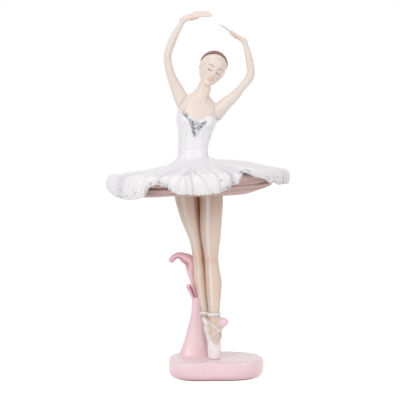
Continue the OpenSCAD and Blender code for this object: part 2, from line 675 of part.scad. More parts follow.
// ---------- torso ----------
// The neckline in front view: a shallow sweetheart line between two cups
neckline = [[-45, torso_z(0.83)], [-31, torso_z(0.825)], [-28, torso_z(0.84)], [-23.2, torso_z(0.8)],
  [-19, torso_z(0.742)], [-16.4, torso_z(0.725)], [-13, torso_z(0.725)], [-10.2, torso_z(0.735)],
  [-8.2, torso_z(0.76)], [-6.2, torso_z(0.773)], [-1.8, torso_z(0.768)], [1, torso_z(0.73)],
  [20, torso_z(0.7)]];

module skin_side(lift) {
  translate([0, 40, lift])
    rotate([90, 0, 0])
    linear_extrude(80)
    polygon(concat(neckline, [[20, pit_z + 60], [-45, pit_z + 60]]));
}

module torso_form() {
  difference() {
    loft(stack(torso, around_body, 2));
    beyond(right_armhole, -seam / 2);
    beyond(left_armhole, -seam / 2);
  }
}

module torso_holes() {
  hole(waist_ends, waist_rod_d);
  hole(left_shoulder_ends, shoulder_pin_d);
  hole(right_shoulder_ends, shoulder_pin_d);
}

module bodice() {
  color("white") difference() {
    torso_form();
    skin_side(0);
    torso_holes();
  }
}

module head_frame() {
  translate(head_at)
    rotate([0, head_lean, 0])
    rotate([0, 0, head_turn])
    children();
}

neck_ends = let (a = neck_low, up = [sin(head_lean), 0, cos(head_lean)])
  [a - up * 2, head_at + up * neck_top_z + [0, 1.2, 0]];
neck_axis = unit(neck_ends[1] - neck_ends[0]);
neck_pin_ends = [neck_ends[1] - neck_axis * neck_pin_l / 2, neck_ends[1] + neck_axis * neck_pin_l / 2];

module chest() {
  color("bisque") difference() {
    union() {
      intersection() {
        torso_form();
        skin_side(seam);
      }
      rod(neck_ends, neck_d - 0.4);
    }
    torso_holes();
    hole(neck_pin_ends, neck_pin_d);
  }
}

// Depth of the torso's front or back surface at x and z: side is -1 for the front
function torso_at(z) = at(torso, lookup(z, [for (i = [0 : len(torso) - 1]) [torso[i][2], i]]));
function on_torso(x, z, side) = let (
    s = torso_at(z),
    u = max(-0.97, min(0.97, (x - s[0]) / (s[3] / 2))),
    v = side * sqrt(1 - u * u))
  [[s[0] + u * s[3] / 2, s[1] + v * s[4] / 2, z], unit([u / s[3], v / s[4], 0])];

module neckline_trim() {
  trim = [[-27.4, torso_z(0.808)], [-23.4, torso_z(0.765)], [-20.4, torso_z(0.68)], [-17.5, torso_z(0.53)],
    [-13.2, torso_z(0.6)], [-7.8, torso_z(0.69)]];
  color("silver")
    loft(band([for (p = smooth(trim, 4)) on_torso(p[0], p[1], -1)], trim_w, 0.35, 0.7));
}

strap_rise = 5.4;

// A strap climbs the front of the chest, crosses the shoulder and runs down the back.
module strap(front, top, back) {
  up = smooth([front, (front + top) / 2 + [0, 1], top], 3);
  down = smooth([back, (back + top) / 2 + [0, 1], top], 3);
  ridge = [[top[0], torso_at(top[1])[1], top[1] + strap_rise], [0, 0, 1]];
  front_top = on_torso(top[0], top[1], -1);
  back_top = on_torso(top[0], top[1], 1);
  path = concat(
    [for (p = up) on_torso(p[0], p[1], -1)],
    [[[front_top[0][0], front_top[0][1] * 0.8, ridge[0][2]], unit([0, -1, 1])], ridge],
    [[[back_top[0][0], back_top[0][1] * 0.8, ridge[0][2]], unit([0, 1, 1])]],
    [for (k = [len(down) - 1 : -1 : 0]) on_torso(down[k][0], down[k][1], 1)]);
  color("white") loft(band(path, strap_w, 0.3, 0.6));
}

module left_strap() {
  strap([-2.6, torso_z(0.75)], [-3.4, torso_z(0.9)], [-5, torso_z(0.75)]);
}

module right_strap() {
  strap([-26.4, torso_z(0.84)], [-22.2, torso_z(0.97)], [-24, torso_z(0.8)]);
}

module left_arm() {
  color("bisque") difference() {
    intersection() {
      loft(sweep(left_arm_path, 16, 3));
      beyond(left_armhole, seam / 2, 140);
    }
    hole(left_shoulder_ends, shoulder_pin_d);
  }
}

module right_arm() {
  color("bisque") difference() {
    intersection() {
      loft(sweep(right_arm_path, 16, 3));
      beyond(right_armhole, seam / 2, 160);
    }
    hole(right_shoulder_ends, shoulder_pin_d);
  }
}

module left_shoulder_pin() {
  color("silver") rod(left_shoulder_ends, shoulder_pin_d);
}

module right_shoulder_pin() {
  color("silver") rod(right_shoulder_ends, shoulder_pin_d);
}

module neck_pin() {
  color("silver") rod(neck_pin_ends, neck_pin_d);
}

// ---------- head ----------
module skull(off) {
  loft(stack(head_bulk, around_body, 3, off));
}

// Behind the hairline plane, which runs from the top of the forehead down behind the ears
module hair_side() {
  rotate([-hairline_tip, 0, 0])
    translate([-40, -40, head_h * 0.13])
    cube([80, 80, 40]);
}

module head() {
  color("bisque") difference() {
    head_frame() skull(0);
    hole([neck_ends[0], neck_ends[1] + neck_axis * 0.1], neck_d - 0.4);
    hole(neck_pin_ends, neck_pin_d);
  }
}

module hair() {
  color("saddlebrown") head_frame() difference() {
    intersection() {
      skull(hair_t);
      hair_side();
    }
    skull(seam);
  }
}

// The bun is a squat knob that stands on the back of the hair.
bun_share = 0.14;
bun_level = lookup(bun_share, [for (i = [0 : len(head_bulk) - 1]) [head_bulk[i][2] / head_h, i]]);
bun_foot_y = let (s = at(head_bulk, bun_level)) s[1] + s[4] / 2 + hair_t + seam;

module hair_bun() {
  r = bun_d / 2;
  color("saddlebrown") head_frame()
    translate([0, bun_foot_y, bun_share * head_h])
    rotate([-90, 0, 0])
    rotate_extrude()
    polygon(concat([[0, 0]],
      [for (a = [-50 : 10 : 90]) [r * cos(a), r * 0.74 * (sin(a) + sin(50))]]));
}

base();
base_pad();
support_stem();
short_plume();
tall_plume();
support_pin();
left_shoe();
right_shoe();
left_leg();
right_leg();
left_ribbons();
right_ribbons();
left_leg_rod();
right_leg_rod();
left_hip_pin();
right_hip_pin();
pelvis();
petticoat();
middle_skirt();
overskirt();
hem_lace();
waist_rod();
bodice();
chest();
neckline_trim();
left_strap();
right_strap();
left_arm();
right_arm();
left_shoulder_pin();
right_shoulder_pin();
neck_pin();
head();
hair();
hair_bun();
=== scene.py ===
"""Looks of the ballerina figurine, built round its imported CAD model.

Lengths here are in millimetres, in the row frame, until piece() writes them in metres.
"""

import math

import bpy
import numpy as np
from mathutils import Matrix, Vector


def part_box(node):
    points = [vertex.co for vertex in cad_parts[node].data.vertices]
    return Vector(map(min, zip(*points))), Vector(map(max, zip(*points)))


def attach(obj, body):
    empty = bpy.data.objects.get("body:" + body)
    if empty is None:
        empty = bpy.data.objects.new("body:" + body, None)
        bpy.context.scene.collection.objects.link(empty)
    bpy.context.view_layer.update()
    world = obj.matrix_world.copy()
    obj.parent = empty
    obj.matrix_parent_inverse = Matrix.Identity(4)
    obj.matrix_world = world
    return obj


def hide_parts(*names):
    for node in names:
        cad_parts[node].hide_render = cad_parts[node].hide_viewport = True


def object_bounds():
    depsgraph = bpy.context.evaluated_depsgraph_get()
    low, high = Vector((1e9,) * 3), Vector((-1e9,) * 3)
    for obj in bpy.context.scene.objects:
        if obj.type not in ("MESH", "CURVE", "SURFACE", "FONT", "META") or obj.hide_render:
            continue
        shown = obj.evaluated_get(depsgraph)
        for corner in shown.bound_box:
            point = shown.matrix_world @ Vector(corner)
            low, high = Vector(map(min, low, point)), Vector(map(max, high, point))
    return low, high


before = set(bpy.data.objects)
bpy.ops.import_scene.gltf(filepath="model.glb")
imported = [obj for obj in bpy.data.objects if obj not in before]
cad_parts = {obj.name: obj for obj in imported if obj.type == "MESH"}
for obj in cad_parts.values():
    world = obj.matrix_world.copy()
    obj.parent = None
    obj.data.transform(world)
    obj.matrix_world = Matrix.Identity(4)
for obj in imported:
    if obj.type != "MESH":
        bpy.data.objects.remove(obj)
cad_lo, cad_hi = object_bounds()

import openvdb as vdb
from mathutils import Euler, Matrix, Vector
from numpy import (arctan2, clip, concatenate, cos, cross, exp, interp, linspace, maximum, minimum, pi,
    radians, sin, sqrt, stack)
from numpy.linalg import norm

MM = 0.001
CLAY_STEP = 0.34  # grid of the limbs and the torso
HEAD_STEP = 0.2
rng = np.random.default_rng(11)

low, high = {}, {}
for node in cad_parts:
    corner_a, corner_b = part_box(node)
    low[node], high[node] = np.array(corner_a) / MM, np.array(corner_b) / MM

# Levels of the figure, most of them read from the imported model
floor_z = high["base"][2]
ankle_z = high["left_leg"][2] - 104
leg_top_z = high["left_leg"][2]
hip_z = leg_top_z + 11
waist_z = low["bodice"][2]
torso_h = 63.0
pit_z = hip_z + torso_h
body_x = (low["hem_lace"][0] + high["hem_lace"][0]) / 2
hem_r = (high["hem_lace"][0] - low["hem_lace"][0]) / 2


def torso_z(t):
    return hip_z + t * torso_h


def vec(*v):
    return np.array(v, float)


def spot(x, y, t):
    """A point at share t of the torso's height."""
    return vec(x, y, torso_z(t))


def unit(v):
    return np.asarray(v, float) / norm(v)


def units(v):
    return v / norm(v, axis=1, keepdims=True)


def ease(a, b, x):
    t = clip((x - a) / (b - a), 0, 1)
    return t * t * (3 - 2 * t)


def bell(x, wide):
    """1 where x is 0, and nearly 0 two widths away."""
    return exp(-((x / wide) ** 2))


def spline(rows, ts):
    """Catmull-Rom through rows, at places ts counted in rows. Rows may hold arrays."""
    rows = np.array(rows, float)
    n = len(rows)
    i = clip(np.floor(ts).astype(int), 0, n - 2)
    f = (ts - i).reshape((-1,) + (1,) * (rows.ndim - 1))
    a, b, c, d = (rows[clip(i + k, 0, n - 1)] for k in (-1, 0, 1, 2))
    return 0.5 * (2 * b + (c - a) * f + (2 * a - 5 * b + 4 * c - d) * f**2 + (3 * b - a - 3 * c + d) * f**3)


def curve(rows, n):
    return spline(rows, linspace(0, len(rows) - 1, n))


def even_out(path, times):
    """Smooths the points of a path in place, its ends kept."""
    for _ in range(times):
        path[1:-1] = 0.25 * path[:-2] + 0.5 * path[1:-1] + 0.25 * path[2:]


def off_line(points, line):
    """Distance of each point from the nearest point of a line."""
    return np.min(stack([norm(points - c, axis=1) for c in line]), 0)


def gap_deg(a, b):
    return (np.asarray(a) - b + 180) % 360 - 180


def gap_rad(a, b):
    return (a - b + pi) % (2 * pi) - pi


# ---------------------------------------------------------------- materials


def rgb(r, g, b):
    """A colour as seen on a screen, turned into the linear values that shaders take."""
    return (tuple((c / 12.92 if c <= 0.04045 else ((c + 0.055) / 1.055) ** 2.4)
        for c in (r / 255, g / 255, b / 255)) + (1,))


def feed(tree, socket, value):
    """Sets an input, or links it if the value is another node's output."""
    if isinstance(value, bpy.types.NodeSocket):
        tree.links.new(value, socket)
    else:
        socket.default_value = value


def add(tree, kind, inputs=(), **settings):
    node = tree.nodes.new("ShaderNode" + kind)
    for key, value in settings.items():
        setattr(node, key, value)
    for key, value in dict(inputs).items():
        feed(tree, node.inputs[key], value)
    return node


def paint(name, base, washes=(), rough=0.45, spread=0.08, mottle=0.03, grain=500, bump=0.2, depth=0.03,
          fine=3000, metallic=0.0, coat=0.0, coat_rough=0.25, specular=0.5):
    """Airbrushed paint: a mottled base, then washes of (attribute, colour, strength) over it, most of them
    painted shade and painted highlights.
    """
    m = bpy.data.materials.new(name)
    m.use_nodes = True
    tree = m.node_tree
    place = add(tree, "TexCoord").outputs["Object"]

    def noise(scale, detail):
        return add(tree, "TexNoise", {"Scale": scale, "Detail": detail, "Vector": place}).outputs["Fac"]

    def ranged(value, a, b):
        limits = {"Value": value, "From Min": 0.3, "From Max": 0.7, "To Min": a, "To Max": b}
        return add(tree, "MapRange", limits).outputs["Result"]

    cloud = noise(grain, 3)
    tone = ranged(cloud, 1 - mottle, 1 + mottle)
    colour = add(tree, "HueSaturation", {"Color": base, "Value": tone}).outputs["Color"]
    for attribute, wash, strength in washes:
        mask = add(tree, "Attribute", attribute_name=attribute).outputs["Fac"]
        share = ranged(cloud, strength * 0.85, strength * 1.1)
        amount = add(tree, "Math", {0: mask, 1: share}, operation="MULTIPLY", use_clamp=True)
        # A colour mix has its factor in input 0 and its colours in 6 and 7.
        colour = add(tree, "Mix", {0: amount.outputs[0], 6: colour, 7: wash}, data_type="RGBA").outputs[2]
    height = add(tree, "Bump", {"Strength": bump, "Distance": depth * MM, "Height": noise(fine, 2)})
    shader = tree.nodes["Principled BSDF"]
    for key, value in {"Base Color": colour, "Roughness": ranged(cloud, rough - spread, rough + spread),
            "Metallic": metallic, "Normal": height.outputs["Normal"], "Coat Weight": coat,
            "Coat Roughness": coat_rough, "Specular IOR Level": specular}.items():
        feed(tree, shader.inputs[key], value)
    return m


# The washes below: the crease wash darkens creases, folds, undersides and the places between parts as painted
# shade; the light and sheen washes are painted highlights; the rose, warm and brown washes are tints of the
# paint, with some painted shade in them.
skin = paint("skin_paint", rgb(238, 224, 214), [("hollow", rgb(205, 168, 148), 0.75),
    ("warm_tint_and_shade", rgb(238, 196, 176), 0.6), ("rose", rgb(232, 160, 150), 0.7), ("brown_paint_and_shade", rgb(112, 74, 62), 0.95)],
    rough=0.42, mottle=0.015, coat=0.12)
tights = paint("tights_paint", rgb(232, 212, 197),
    [("hollow", rgb(172, 122, 88), 0.85), ("warm_tint_and_shade", rgb(235, 186, 160), 0.65),
    ("painted_sheen", rgb(247, 240, 234), 0.8)], rough=0.36, mottle=0.015, coat=0.25, coat_rough=0.2)
white = paint("white_paint", rgb(241, 239, 241), [("hollow", rgb(196, 194, 204), 0.8),
    ("painted_sheen", rgb(250, 249, 250), 0.7)], rough=0.42, mottle=0.012, coat=0.1, grain=300)
lace = paint("lace_paint", rgb(243, 241, 242), [("hollow", rgb(198, 195, 203), 0.8),
    ("pit", rgb(112, 106, 112), 0.95)], rough=0.45, mottle=0.02, bump=0.35, depth=0.06, fine=2200)
underskirt = paint("underskirt_paint", rgb(216, 186, 180),
    [("hollow", rgb(166, 128, 122), 0.75), ("painted_highlight", rgb(234, 206, 200), 0.7)], rough=0.6, mottle=0.04)
pink = paint("pink_paint", rgb(251, 221, 227), [("hollow", rgb(196, 112, 130), 0.85),
    ("rose", rgb(238, 178, 194), 0.8), ("brown_paint_and_shade", rgb(120, 72, 70), 0.9), ("painted_highlight", rgb(253, 236, 240), 0.7)],
    rough=0.34, mottle=0.015, grain=120, coat=0.35, coat_rough=0.22)
shoe_satin = paint("shoe_paint", rgb(252, 243, 243),
    [("hollow", rgb(205, 172, 172), 0.8), ("rose", rgb(255, 213, 231), 0.95),
    ("grey", rgb(190, 184, 190), 0.8)], rough=0.34, mottle=0.02, coat=0.2)
ribbon_satin = paint("ribbon_paint", rgb(243, 238, 238), [("hollow", rgb(196, 186, 190), 0.8)], rough=0.34,
    mottle=0.02, coat=0.2)
silver = paint("silver_glitter", rgb(154, 154, 165), rough=0.34, spread=0.14, mottle=0.16, grain=2500,
    metallic=0.7, bump=0.3)
pearl = paint("pearl_glitter", rgb(240, 240, 244), rough=0.25, spread=0.1, mottle=0.04, metallic=0.15,
    coat=0.4)
brown_hair = paint("hair_paint", rgb(132, 84, 72),
    [("hollow", rgb(78, 46, 40), 0.9), ("painted_highlight", rgb(164, 112, 96), 0.7)], rough=0.42, mottle=0.06,
    grain=700, coat=0.15)
felt = paint("felt", rgb(120, 100, 104), rough=0.95, spread=0.04, mottle=0.12, grain=1500, bump=0.8,
    depth=0.2, fine=4000, specular=0.2)
steel = paint("steel_pin", rgb(150, 152, 156), rough=0.35, mottle=0.06, metallic=1.0, grain=900)

# ---------------------------------------------------------------- meshes


def piece(name, points, faces, material, masks=None, slot=None, stands_for=None, sharp=60):
    """Makes a piece of the object. faces is a list of arrays of 3 or 4 point numbers per row.

    It stands for the CAD node of its own name, unless stands_for is given. Its slot argument is not used.
    """
    faces = [np.asarray(f) for f in (faces if isinstance(faces, list) else [faces])]
    me = bpy.data.meshes.new(name)
    me.vertices.add(len(points))
    me.vertices.foreach_set("co", (np.asarray(points) * MM).astype(np.float32).ravel())
    corners = concatenate([f.ravel() for f in faces]).astype(np.int32)
    sizes = concatenate([np.full(len(f), f.shape[1], np.int32) for f in faces])
    me.loops.add(len(corners))
    me.loops.foreach_set("vertex_index", corners)
    me.polygons.add(len(sizes))
    me.polygons.foreach_set("loop_start", concatenate([[0], np.cumsum(sizes)[:-1]]).astype(np.int32))
    me.polygons.foreach_set("use_smooth", np.ones(len(sizes), bool))
    me.update(calc_edges=True)
    for key, values in (masks or {}).items():
        layer = me.attributes.new(key, "FLOAT", "POINT")
        layer.data.foreach_set("value", clip(values, 0, 1).astype(np.float32))
    if sharp:
        me.set_sharp_from_angle(angle=math.radians(sharp))
    me.materials.append(material)
    o = bpy.data.objects.new(name, me)
    bpy.context.scene.collection.objects.link(o)
    slot = slot or material.name.split(".")[0]
    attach(o, "root")
    if stands_for is None:
        stands_for = [name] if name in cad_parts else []
    if stands_for:
        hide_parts(*stands_for)
    return o


def lattice(m, n, close=False):
    """Quads over m closed rows of n points. close joins the last row to the first."""
    j = np.arange(m if close else m - 1)[:, None]
    i = np.arange(n)[None, :]
    a, b = j * n + i, j * n + (i + 1) % n
    c, d = (j + 1) % m * n + i, (j + 1) % m * n + (i + 1) % n
    return stack([a, b, d, c], -1).reshape(-1, 4)


def normals(points, quads):
    a, b, c, d = (points[quads[:, k]] for k in range(4))
    face = cross(c - a, d - b)
    total = np.zeros_like(points)
    for k in range(4):
        for axis in range(3):
            total[:, axis] += np.bincount(quads[:, k], face[:, axis], len(points))
    return total / maximum(norm(total, axis=1, keepdims=True), 1e-9)


def capped(rings):
    """Points and faces of a stack of rings, each end closed round a middle point."""
    m, n = rings.shape[:2]
    points = concatenate([rings.reshape(-1, 3), rings[:1].mean(1), rings[-1:].mean(1)])
    i = np.arange(n)
    first = stack([np.full(n, m * n), (i + 1) % n, i], -1)
    last = stack([np.full(n, m * n + 1), (m - 1) * n + i, (m - 1) * n + (i + 1) % n], -1)
    return points, [lattice(m, n), concatenate([first, last])]


def with_caps(mask):
    """A mask over a stack of rings, with values for the two middle points of capped()."""
    return np.append(mask.ravel(), [0, 0])


# ---------------------------------------------------------------- clay


class Clay:
    """Distances to a surface, below zero inside it, on a grid with a step of h."""

    def __init__(self, lo, hi, h, far=3.0):
        self.lo = np.floor(np.array(lo) / h).astype(int)
        self.n = np.ceil(np.array(hi) / h).astype(int) - self.lo + 1
        self.h, self.far = h, far
        self.f = np.full(self.n, far, np.float32)

    def block(self, lo, hi):
        a = clip(np.floor(np.asarray(lo) / self.h).astype(int) - self.lo, 0, self.n)
        b = clip(np.ceil(np.asarray(hi) / self.h).astype(int) - self.lo + 1, 0, self.n)
        return tuple(slice(p, q) for p, q in zip(a, b))

    def axes(self, part=(slice(None),) * 3):
        out = []
        for k in range(3):
            values = ((np.arange(self.n[k]) + self.lo[k]) * self.h).astype(np.float32)[part[k]]
            out.append(values.reshape([-1 if j == k else 1 for j in range(3)]))
        return out

    def join(self, part, d, k):
        a = self.f[part]
        low_one = minimum(a, d)
        if k:
            near = k * clip(1 - low_one / (0.6 * self.far), 0, 1) + 1e-6
            share = clip(1 - np.abs(a - d) / near, 0, 1)
            low_one = low_one - share * share * near / 4
        self.f[part] = low_one

    def cut(self, part, d, k=0.0):
        """Takes away where d is above zero."""
        a = self.f[part]
        high_one = maximum(a, d)
        if k:
            share = clip(1 - np.abs(a - d) / k, 0, 1)
            high_one = high_one + share * share * k / 4
        self.f[part] = minimum(high_one, self.far)

    def nodes(self, names, k=0.5):
        for name in names:
            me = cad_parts[name].data
            me.calc_loop_triangles()
            co = np.zeros(len(me.vertices) * 3, np.float32)
            me.vertices.foreach_get("co", co)
            tri = np.zeros(len(me.loop_triangles) * 3, np.int32)
            me.loop_triangles.foreach_get("vertices", tri)
            grid = vdb.FloatGrid.createLevelSetFromPolygons(
                (co.reshape(-1, 3) / MM).astype(np.float32), triangles=tri.reshape(-1, 3).astype(np.uint32),
                transform=vdb.createLinearTransform(voxelSize=self.h), halfWidth=self.far / self.h)
            d = np.full(self.n, self.far, np.float32)
            grid.copyToArray(d, ijk=tuple(int(v) for v in self.lo))
            self.join((slice(None),) * 3, d, k)

    def cone(self, a, b, ra, rb, k=0.5, dig=False):
        a, b = np.asarray(a, float), np.asarray(b, float)
        reach = max(ra, rb) + self.far * 0.6 + k
        part = self.block(minimum(a, b) - reach, maximum(a, b) + reach)
        x, y, z = self.axes(part)
        v = b - a
        t = clip(((x - a[0]) * v[0] + (y - a[1]) * v[1] + (z - a[2]) * v[2]) / max(v @ v, 1e-9), 0, 1)
        d = (sqrt((x - a[0] - t * v[0]) ** 2 + (y - a[1] - t * v[1]) ** 2 + (z - a[2] - t * v[2]) ** 2) - ra
            - (rb - ra) * t)
        self.cut(part, -d, k) if dig else self.join(part, d, k)

    def tube(self, points, radii, k=0.5, dig=False):
        for p, q, rp, rq in zip(points[:-1], points[1:], radii[:-1], radii[1:]):
            self.cone(p, q, rp, rq, k, dig)

    def blob(self, c, r, k=0.5, dig=False):
        """An ellipsoid of radii r."""
        c, r = np.asarray(c, float), np.asarray(r, float)
        reach = max(r) + self.far * 0.6 + k
        part = self.block(c - reach, c + reach)
        q = [axis - c[i] for i, axis in enumerate(self.axes(part))]
        k0 = sqrt(sum((q[i] / r[i]) ** 2 for i in range(3)))
        k1 = sqrt(sum((q[i] / r[i] ** 2) ** 2 for i in range(3)))
        d = k0 * (k0 - 1) / maximum(k1, 1e-6)
        self.cut(part, -d, k) if dig else self.join(part, d, k)

    def blur(self, times=1):
        for _ in range(times):
            for axis in range(3):
                f = np.moveaxis(self.f, axis, 0)
                g = f.copy()
                g[1:-1] = 0.25 * f[:-2] + 0.5 * f[1:-1] + 0.25 * f[2:]
                self.f = np.moveaxis(g, 0, axis)
        self.f = np.ascontiguousarray(self.f)

    def copy(self):
        c = Clay.__new__(Clay)
        c.lo, c.n, c.h, c.far = self.lo, self.n, self.h, self.far
        c.f = self.f.copy()
        return c

    def at(self, points):
        """The field at points, between grid points by straight lines."""
        p = np.asarray(points, float) / self.h - self.lo
        i = clip(np.floor(p).astype(int), 0, self.n - 2)
        t = clip(p - i, 0, 1)
        out = 0
        for corner in range(8):
            step = np.array([corner >> 2 & 1, corner >> 1 & 1, corner & 1])
            w = np.prod(np.where(step, t, 1 - t), -1)
            j = i + step
            out = out + w * self.f[j[..., 0], j[..., 1], j[..., 2]]
        return out

    def reach(self, starts, directions, far):
        """How far from starts the surface is along directions, looking inwards from far."""
        starts, directions = np.atleast_2d(starts), np.atleast_2d(directions)
        steps = linspace(0, far, int(far / (self.h * 0.5)) + 2)
        values = self.at(starts[:, None] + directions[:, None] * steps[None, :, None])
        inside = values < 0
        last = len(steps) - 1 - np.argmax(inside[:, ::-1], 1)
        last = np.where(inside.any(1), minimum(last, len(steps) - 2), 0)
        rows = np.arange(len(starts))
        a, b = values[rows, last], values[rows, last + 1]
        return steps[last] + (steps[1] - steps[0]) * clip(a / (a - b + 1e-9), 0, 1)

    def mesh(self):
        grid = vdb.FloatGrid(self.far)
        grid.copyFromArray(self.f, ijk=tuple(int(v) for v in self.lo))
        grid.transform = vdb.createLinearTransform(voxelSize=self.h)
        points, quads = grid.convertToQuads(isovalue=0.0)
        quads = quads.astype(np.int64)[:, ::-1]
        p = points.astype(float)
        middle = quads[len(quads) // 2]
        ahead = cross(p[middle[1]] - p[middle[0]], p[middle[2]] - p[middle[1]])
        at_face = p[middle].mean(0)
        if self.at(at_face + unit(ahead) * self.h * 0.5) < self.at(at_face - unit(ahead) * self.h * 0.5):
            quads = quads[:, ::-1]
        return p, quads

    def hollows(self, points, times, scale):
        """How hollow the surface is at points: 0 on flat and raised parts, 1 in creases."""
        soft = self.copy()
        soft.blur(times)
        return clip(-(soft.at(points) - self.at(points)) / scale, 0, 1)


def span_of(names, margin):
    return np.min([low[n] for n in names], 0) - margin, np.max([high[n] for n in names], 0) + margin


# ---------------------------------------------------------------- torso, arms and hands

body_nodes = ["chest", "bodice", "left_arm", "right_arm"]
lo, hi = span_of(body_nodes, 3)
body = Clay(lo, hi, CLAY_STEP)
body.nodes(body_nodes + ["left_shoulder_pin", "right_shoulder_pin", "neck_pin", "waist_rod"])
body.blur(5)

# Shoulder, neck and collarbone forms
body.cone(spot(-12.5, 2.5, 1.07), spot(-24.5, 1.5, 0.98), 2.6, 3.4, 3.0)
body.cone(spot(-12.6, 1.6, 1.085), spot(-19.5, 1.6, 1.01), 3.6, 2.4, 3.0)
body.cone(spot(-7.5, 2.5, 1.03), spot(-2.2, 1.6, 0.9), 2.0, 3.4, 2.6)
for tip, bend in ((spot(-26.0, -5.6, 0.975), 0.6), (spot(-2.4, -5.8, 0.87), 0.5)):
    start = spot(-12.6, -6.2, 0.945) if tip[0] < -14 else spot(-10.2, -6.2, 0.935)
    middle = (start + tip) / 2 + vec(0, -0.2, -bend)
    ends = np.array([start, middle, tip])
    inward = body.reach(ends * [1, 0, 1] + [0, -1, 0], [[0, -1, 0]] * 3, 14)
    ends[:, 1] = -1 - inward + 0.55
    body.tube(ends, [0.75, 0.6, 0.7], 1.3)
body.blob(spot(-11.4, -6.9, 0.955), vec(1.6, 1.5, 1.4), 1.6, dig=True)
for foot, top in ((spot(-12.2, -4.9, 0.965), spot(-10.6, -1.6, 1.18)),
                  (spot(-10.6, -4.9, 0.96), spot(-5.6, -2.4, 1.16))):
    body.cone(foot, top, 0.9, 1.5, 2.4)
body.cone(spot(-10.9, 0.8, 1.08), spot(-4.6, 1.2, 1.32), 5.6, 4.9, 2.6)
body.blur(1)

# Hands: the mitten ends of the arms come off at the wrists and palms and fingers go on.
right_root = vec(-24.5, 0.5, pit_z - 6)
left_root = vec(-0.4, 0.5, pit_z - 12.6)


def hand(wrist, knuckles, tip, across, lengths, spread, thumb):
    """A palm from wrist to knuckles and four fingers towards tip; across points to the little finger."""
    along = unit(knuckles - wrist)
    across = unit(across - (across @ along) * along)
    up = cross(across, along)
    up = up if up[2] > 0 else -up
    part = body.block(wrist - 30, wrist + 30)
    x, y, z = body.axes(part)
    past = (x - wrist[0]) * along[0] + (y - wrist[1]) * along[1] + (z - wrist[2]) * along[2]
    near = sqrt((x - wrist[0]) ** 2 + (y - wrist[1]) ** 2 + (z - wrist[2]) ** 2)
    body.cut(part, np.where(near < 30, past, -9).astype(np.float32))
    body.cone(wrist - along * 2.2, wrist + along * 1.6, 2.0, 1.8, 1.2)
    for share, r in ((-0.36, 1.2), (-0.12, 1.3), (0.12, 1.3), (0.36, 1.1)):
        body.cone(wrist + along * 0.6 + across * share * 3.4, knuckles + across * share * spread, r + 0.2,
            r * 0.86, 1.0)
    # the heel of the hand
    body.cone(wrist + along * 1.5 + thumb * 0.3 + across * 0.5,
        knuckles - along * 2.5 + thumb * 0.2 + across * 1.2, 1.2, 0.95, 1.0)
    aim = unit(tip - knuckles)
    for k, (share, length, lift) in enumerate(zip((-0.43, -0.15, 0.15, 0.43), lengths,
            (0.3, 0.0, 0.1, 0.35))):
        root = knuckles + across * share * spread - up * (0.4 * share * share)
        way = unit(aim - across * share * 0.03)
        r = 0.92 - 0.05 * abs(k - 1.4)
        a = root + way * length * 0.44 + up * (0.15 + 0.4 * lift)
        b = a + way * length * 0.31 + up * 0.3 * lift
        c = b + way * length * 0.25 + up * (0.2 * lift - 0.25)
        body.tube([root - along * 1.4, root, a, b, c], [r * 1.0, r, r * 0.94, r * 0.86, r * 0.66], 0.22)
    # the thumb lies under the palm
    t0 = wrist + along * 2.6 + thumb * 0.35
    t1 = wrist + along * 6.6 + thumb * 1.0
    t2 = t1 + along * 3.8 + thumb * 0.12
    t3 = t2 + along * 2.4 - thumb * 0.1
    body.tube([t0, t1, t2, t3], [1.3, 1.05, 0.85, 0.6], 0.5)


right_wrist = right_root + vec(-0.8, -14.9, 69.8)
right_knuckles = right_root + vec(9.6, -17.0, 73.4)
hand(right_wrist, right_knuckles, right_root + vec(21.2, -18.6, 73.2), vec(0.05, -0.55, -0.83),
    (9.8, 11.4, 11.6, 10.6), 5.6, vec(0, 0.8, -2.6))
left_wrist = left_root + vec(22.4, -14.2, 59.4)
left_knuckles = left_root + vec(13.4, -16.2, 65.6)
hand(left_wrist, left_knuckles, left_root + vec(3.6, -17.8, 71.4), vec(-0.1, -1, 0.0),
    (9.0, 10.9, 11.6, 10.4), 5.8, vec(-0.3, 0.6, -1.5))
body.blur(1)

# The neckline, seen from the front
neckline = curve([[-46, 0.83], [-31, 0.825], [-28, 0.84], [-23.2, 0.8], [-19, 0.742], [-16.4, 0.725],
    [-13, 0.725], [-10.2, 0.735], [-8.2, 0.76], [-6.2, 0.773], [-1.8, 0.768], [1, 0.73], [20, 0.7]], 300)
neck_x, neck_z = neckline[:, 0], torso_z(neckline[:, 1])

whole = (slice(None),) * 3
X, Y, Z = body.axes()
line_z = interp(X, neck_x, neck_z).astype(np.float32)
slope = interp(X, neck_x, np.gradient(neck_z, neck_x)).astype(np.float32)
over_line = ((Z - line_z) / sqrt(1 + slope * slope)).astype(np.float32)
armholes = {
    "right_arm": (spot(-28, 0.3, 0.945), unit([-0.83, 0, 0.56])),
    "left_arm": (spot(0.8, 0.3, 0.81), unit([0.975, 0, 0.22])),
}


def outside(hole):
    p, n = armholes[hole]
    return (X - p[0]) * n[0] + (Y - p[1]) * n[1] + (Z - p[2]) * n[2]


def skin_masks(clay, points, extra=None):
    # The crease wash is painted shade in the creases of the skin.
    masks = {"hollow": clay.hollows(points, 8, 0.9), "warm_tint_and_shade": np.zeros(len(points)),
        "rose": np.zeros(len(points)), "brown_paint_and_shade": np.zeros(len(points))}
    masks.update(extra or {})
    return masks


def near_points(points, centres, size):
    return sum(exp(-np.sum((points - c) ** 2, 1) / size**2) for c in centres)


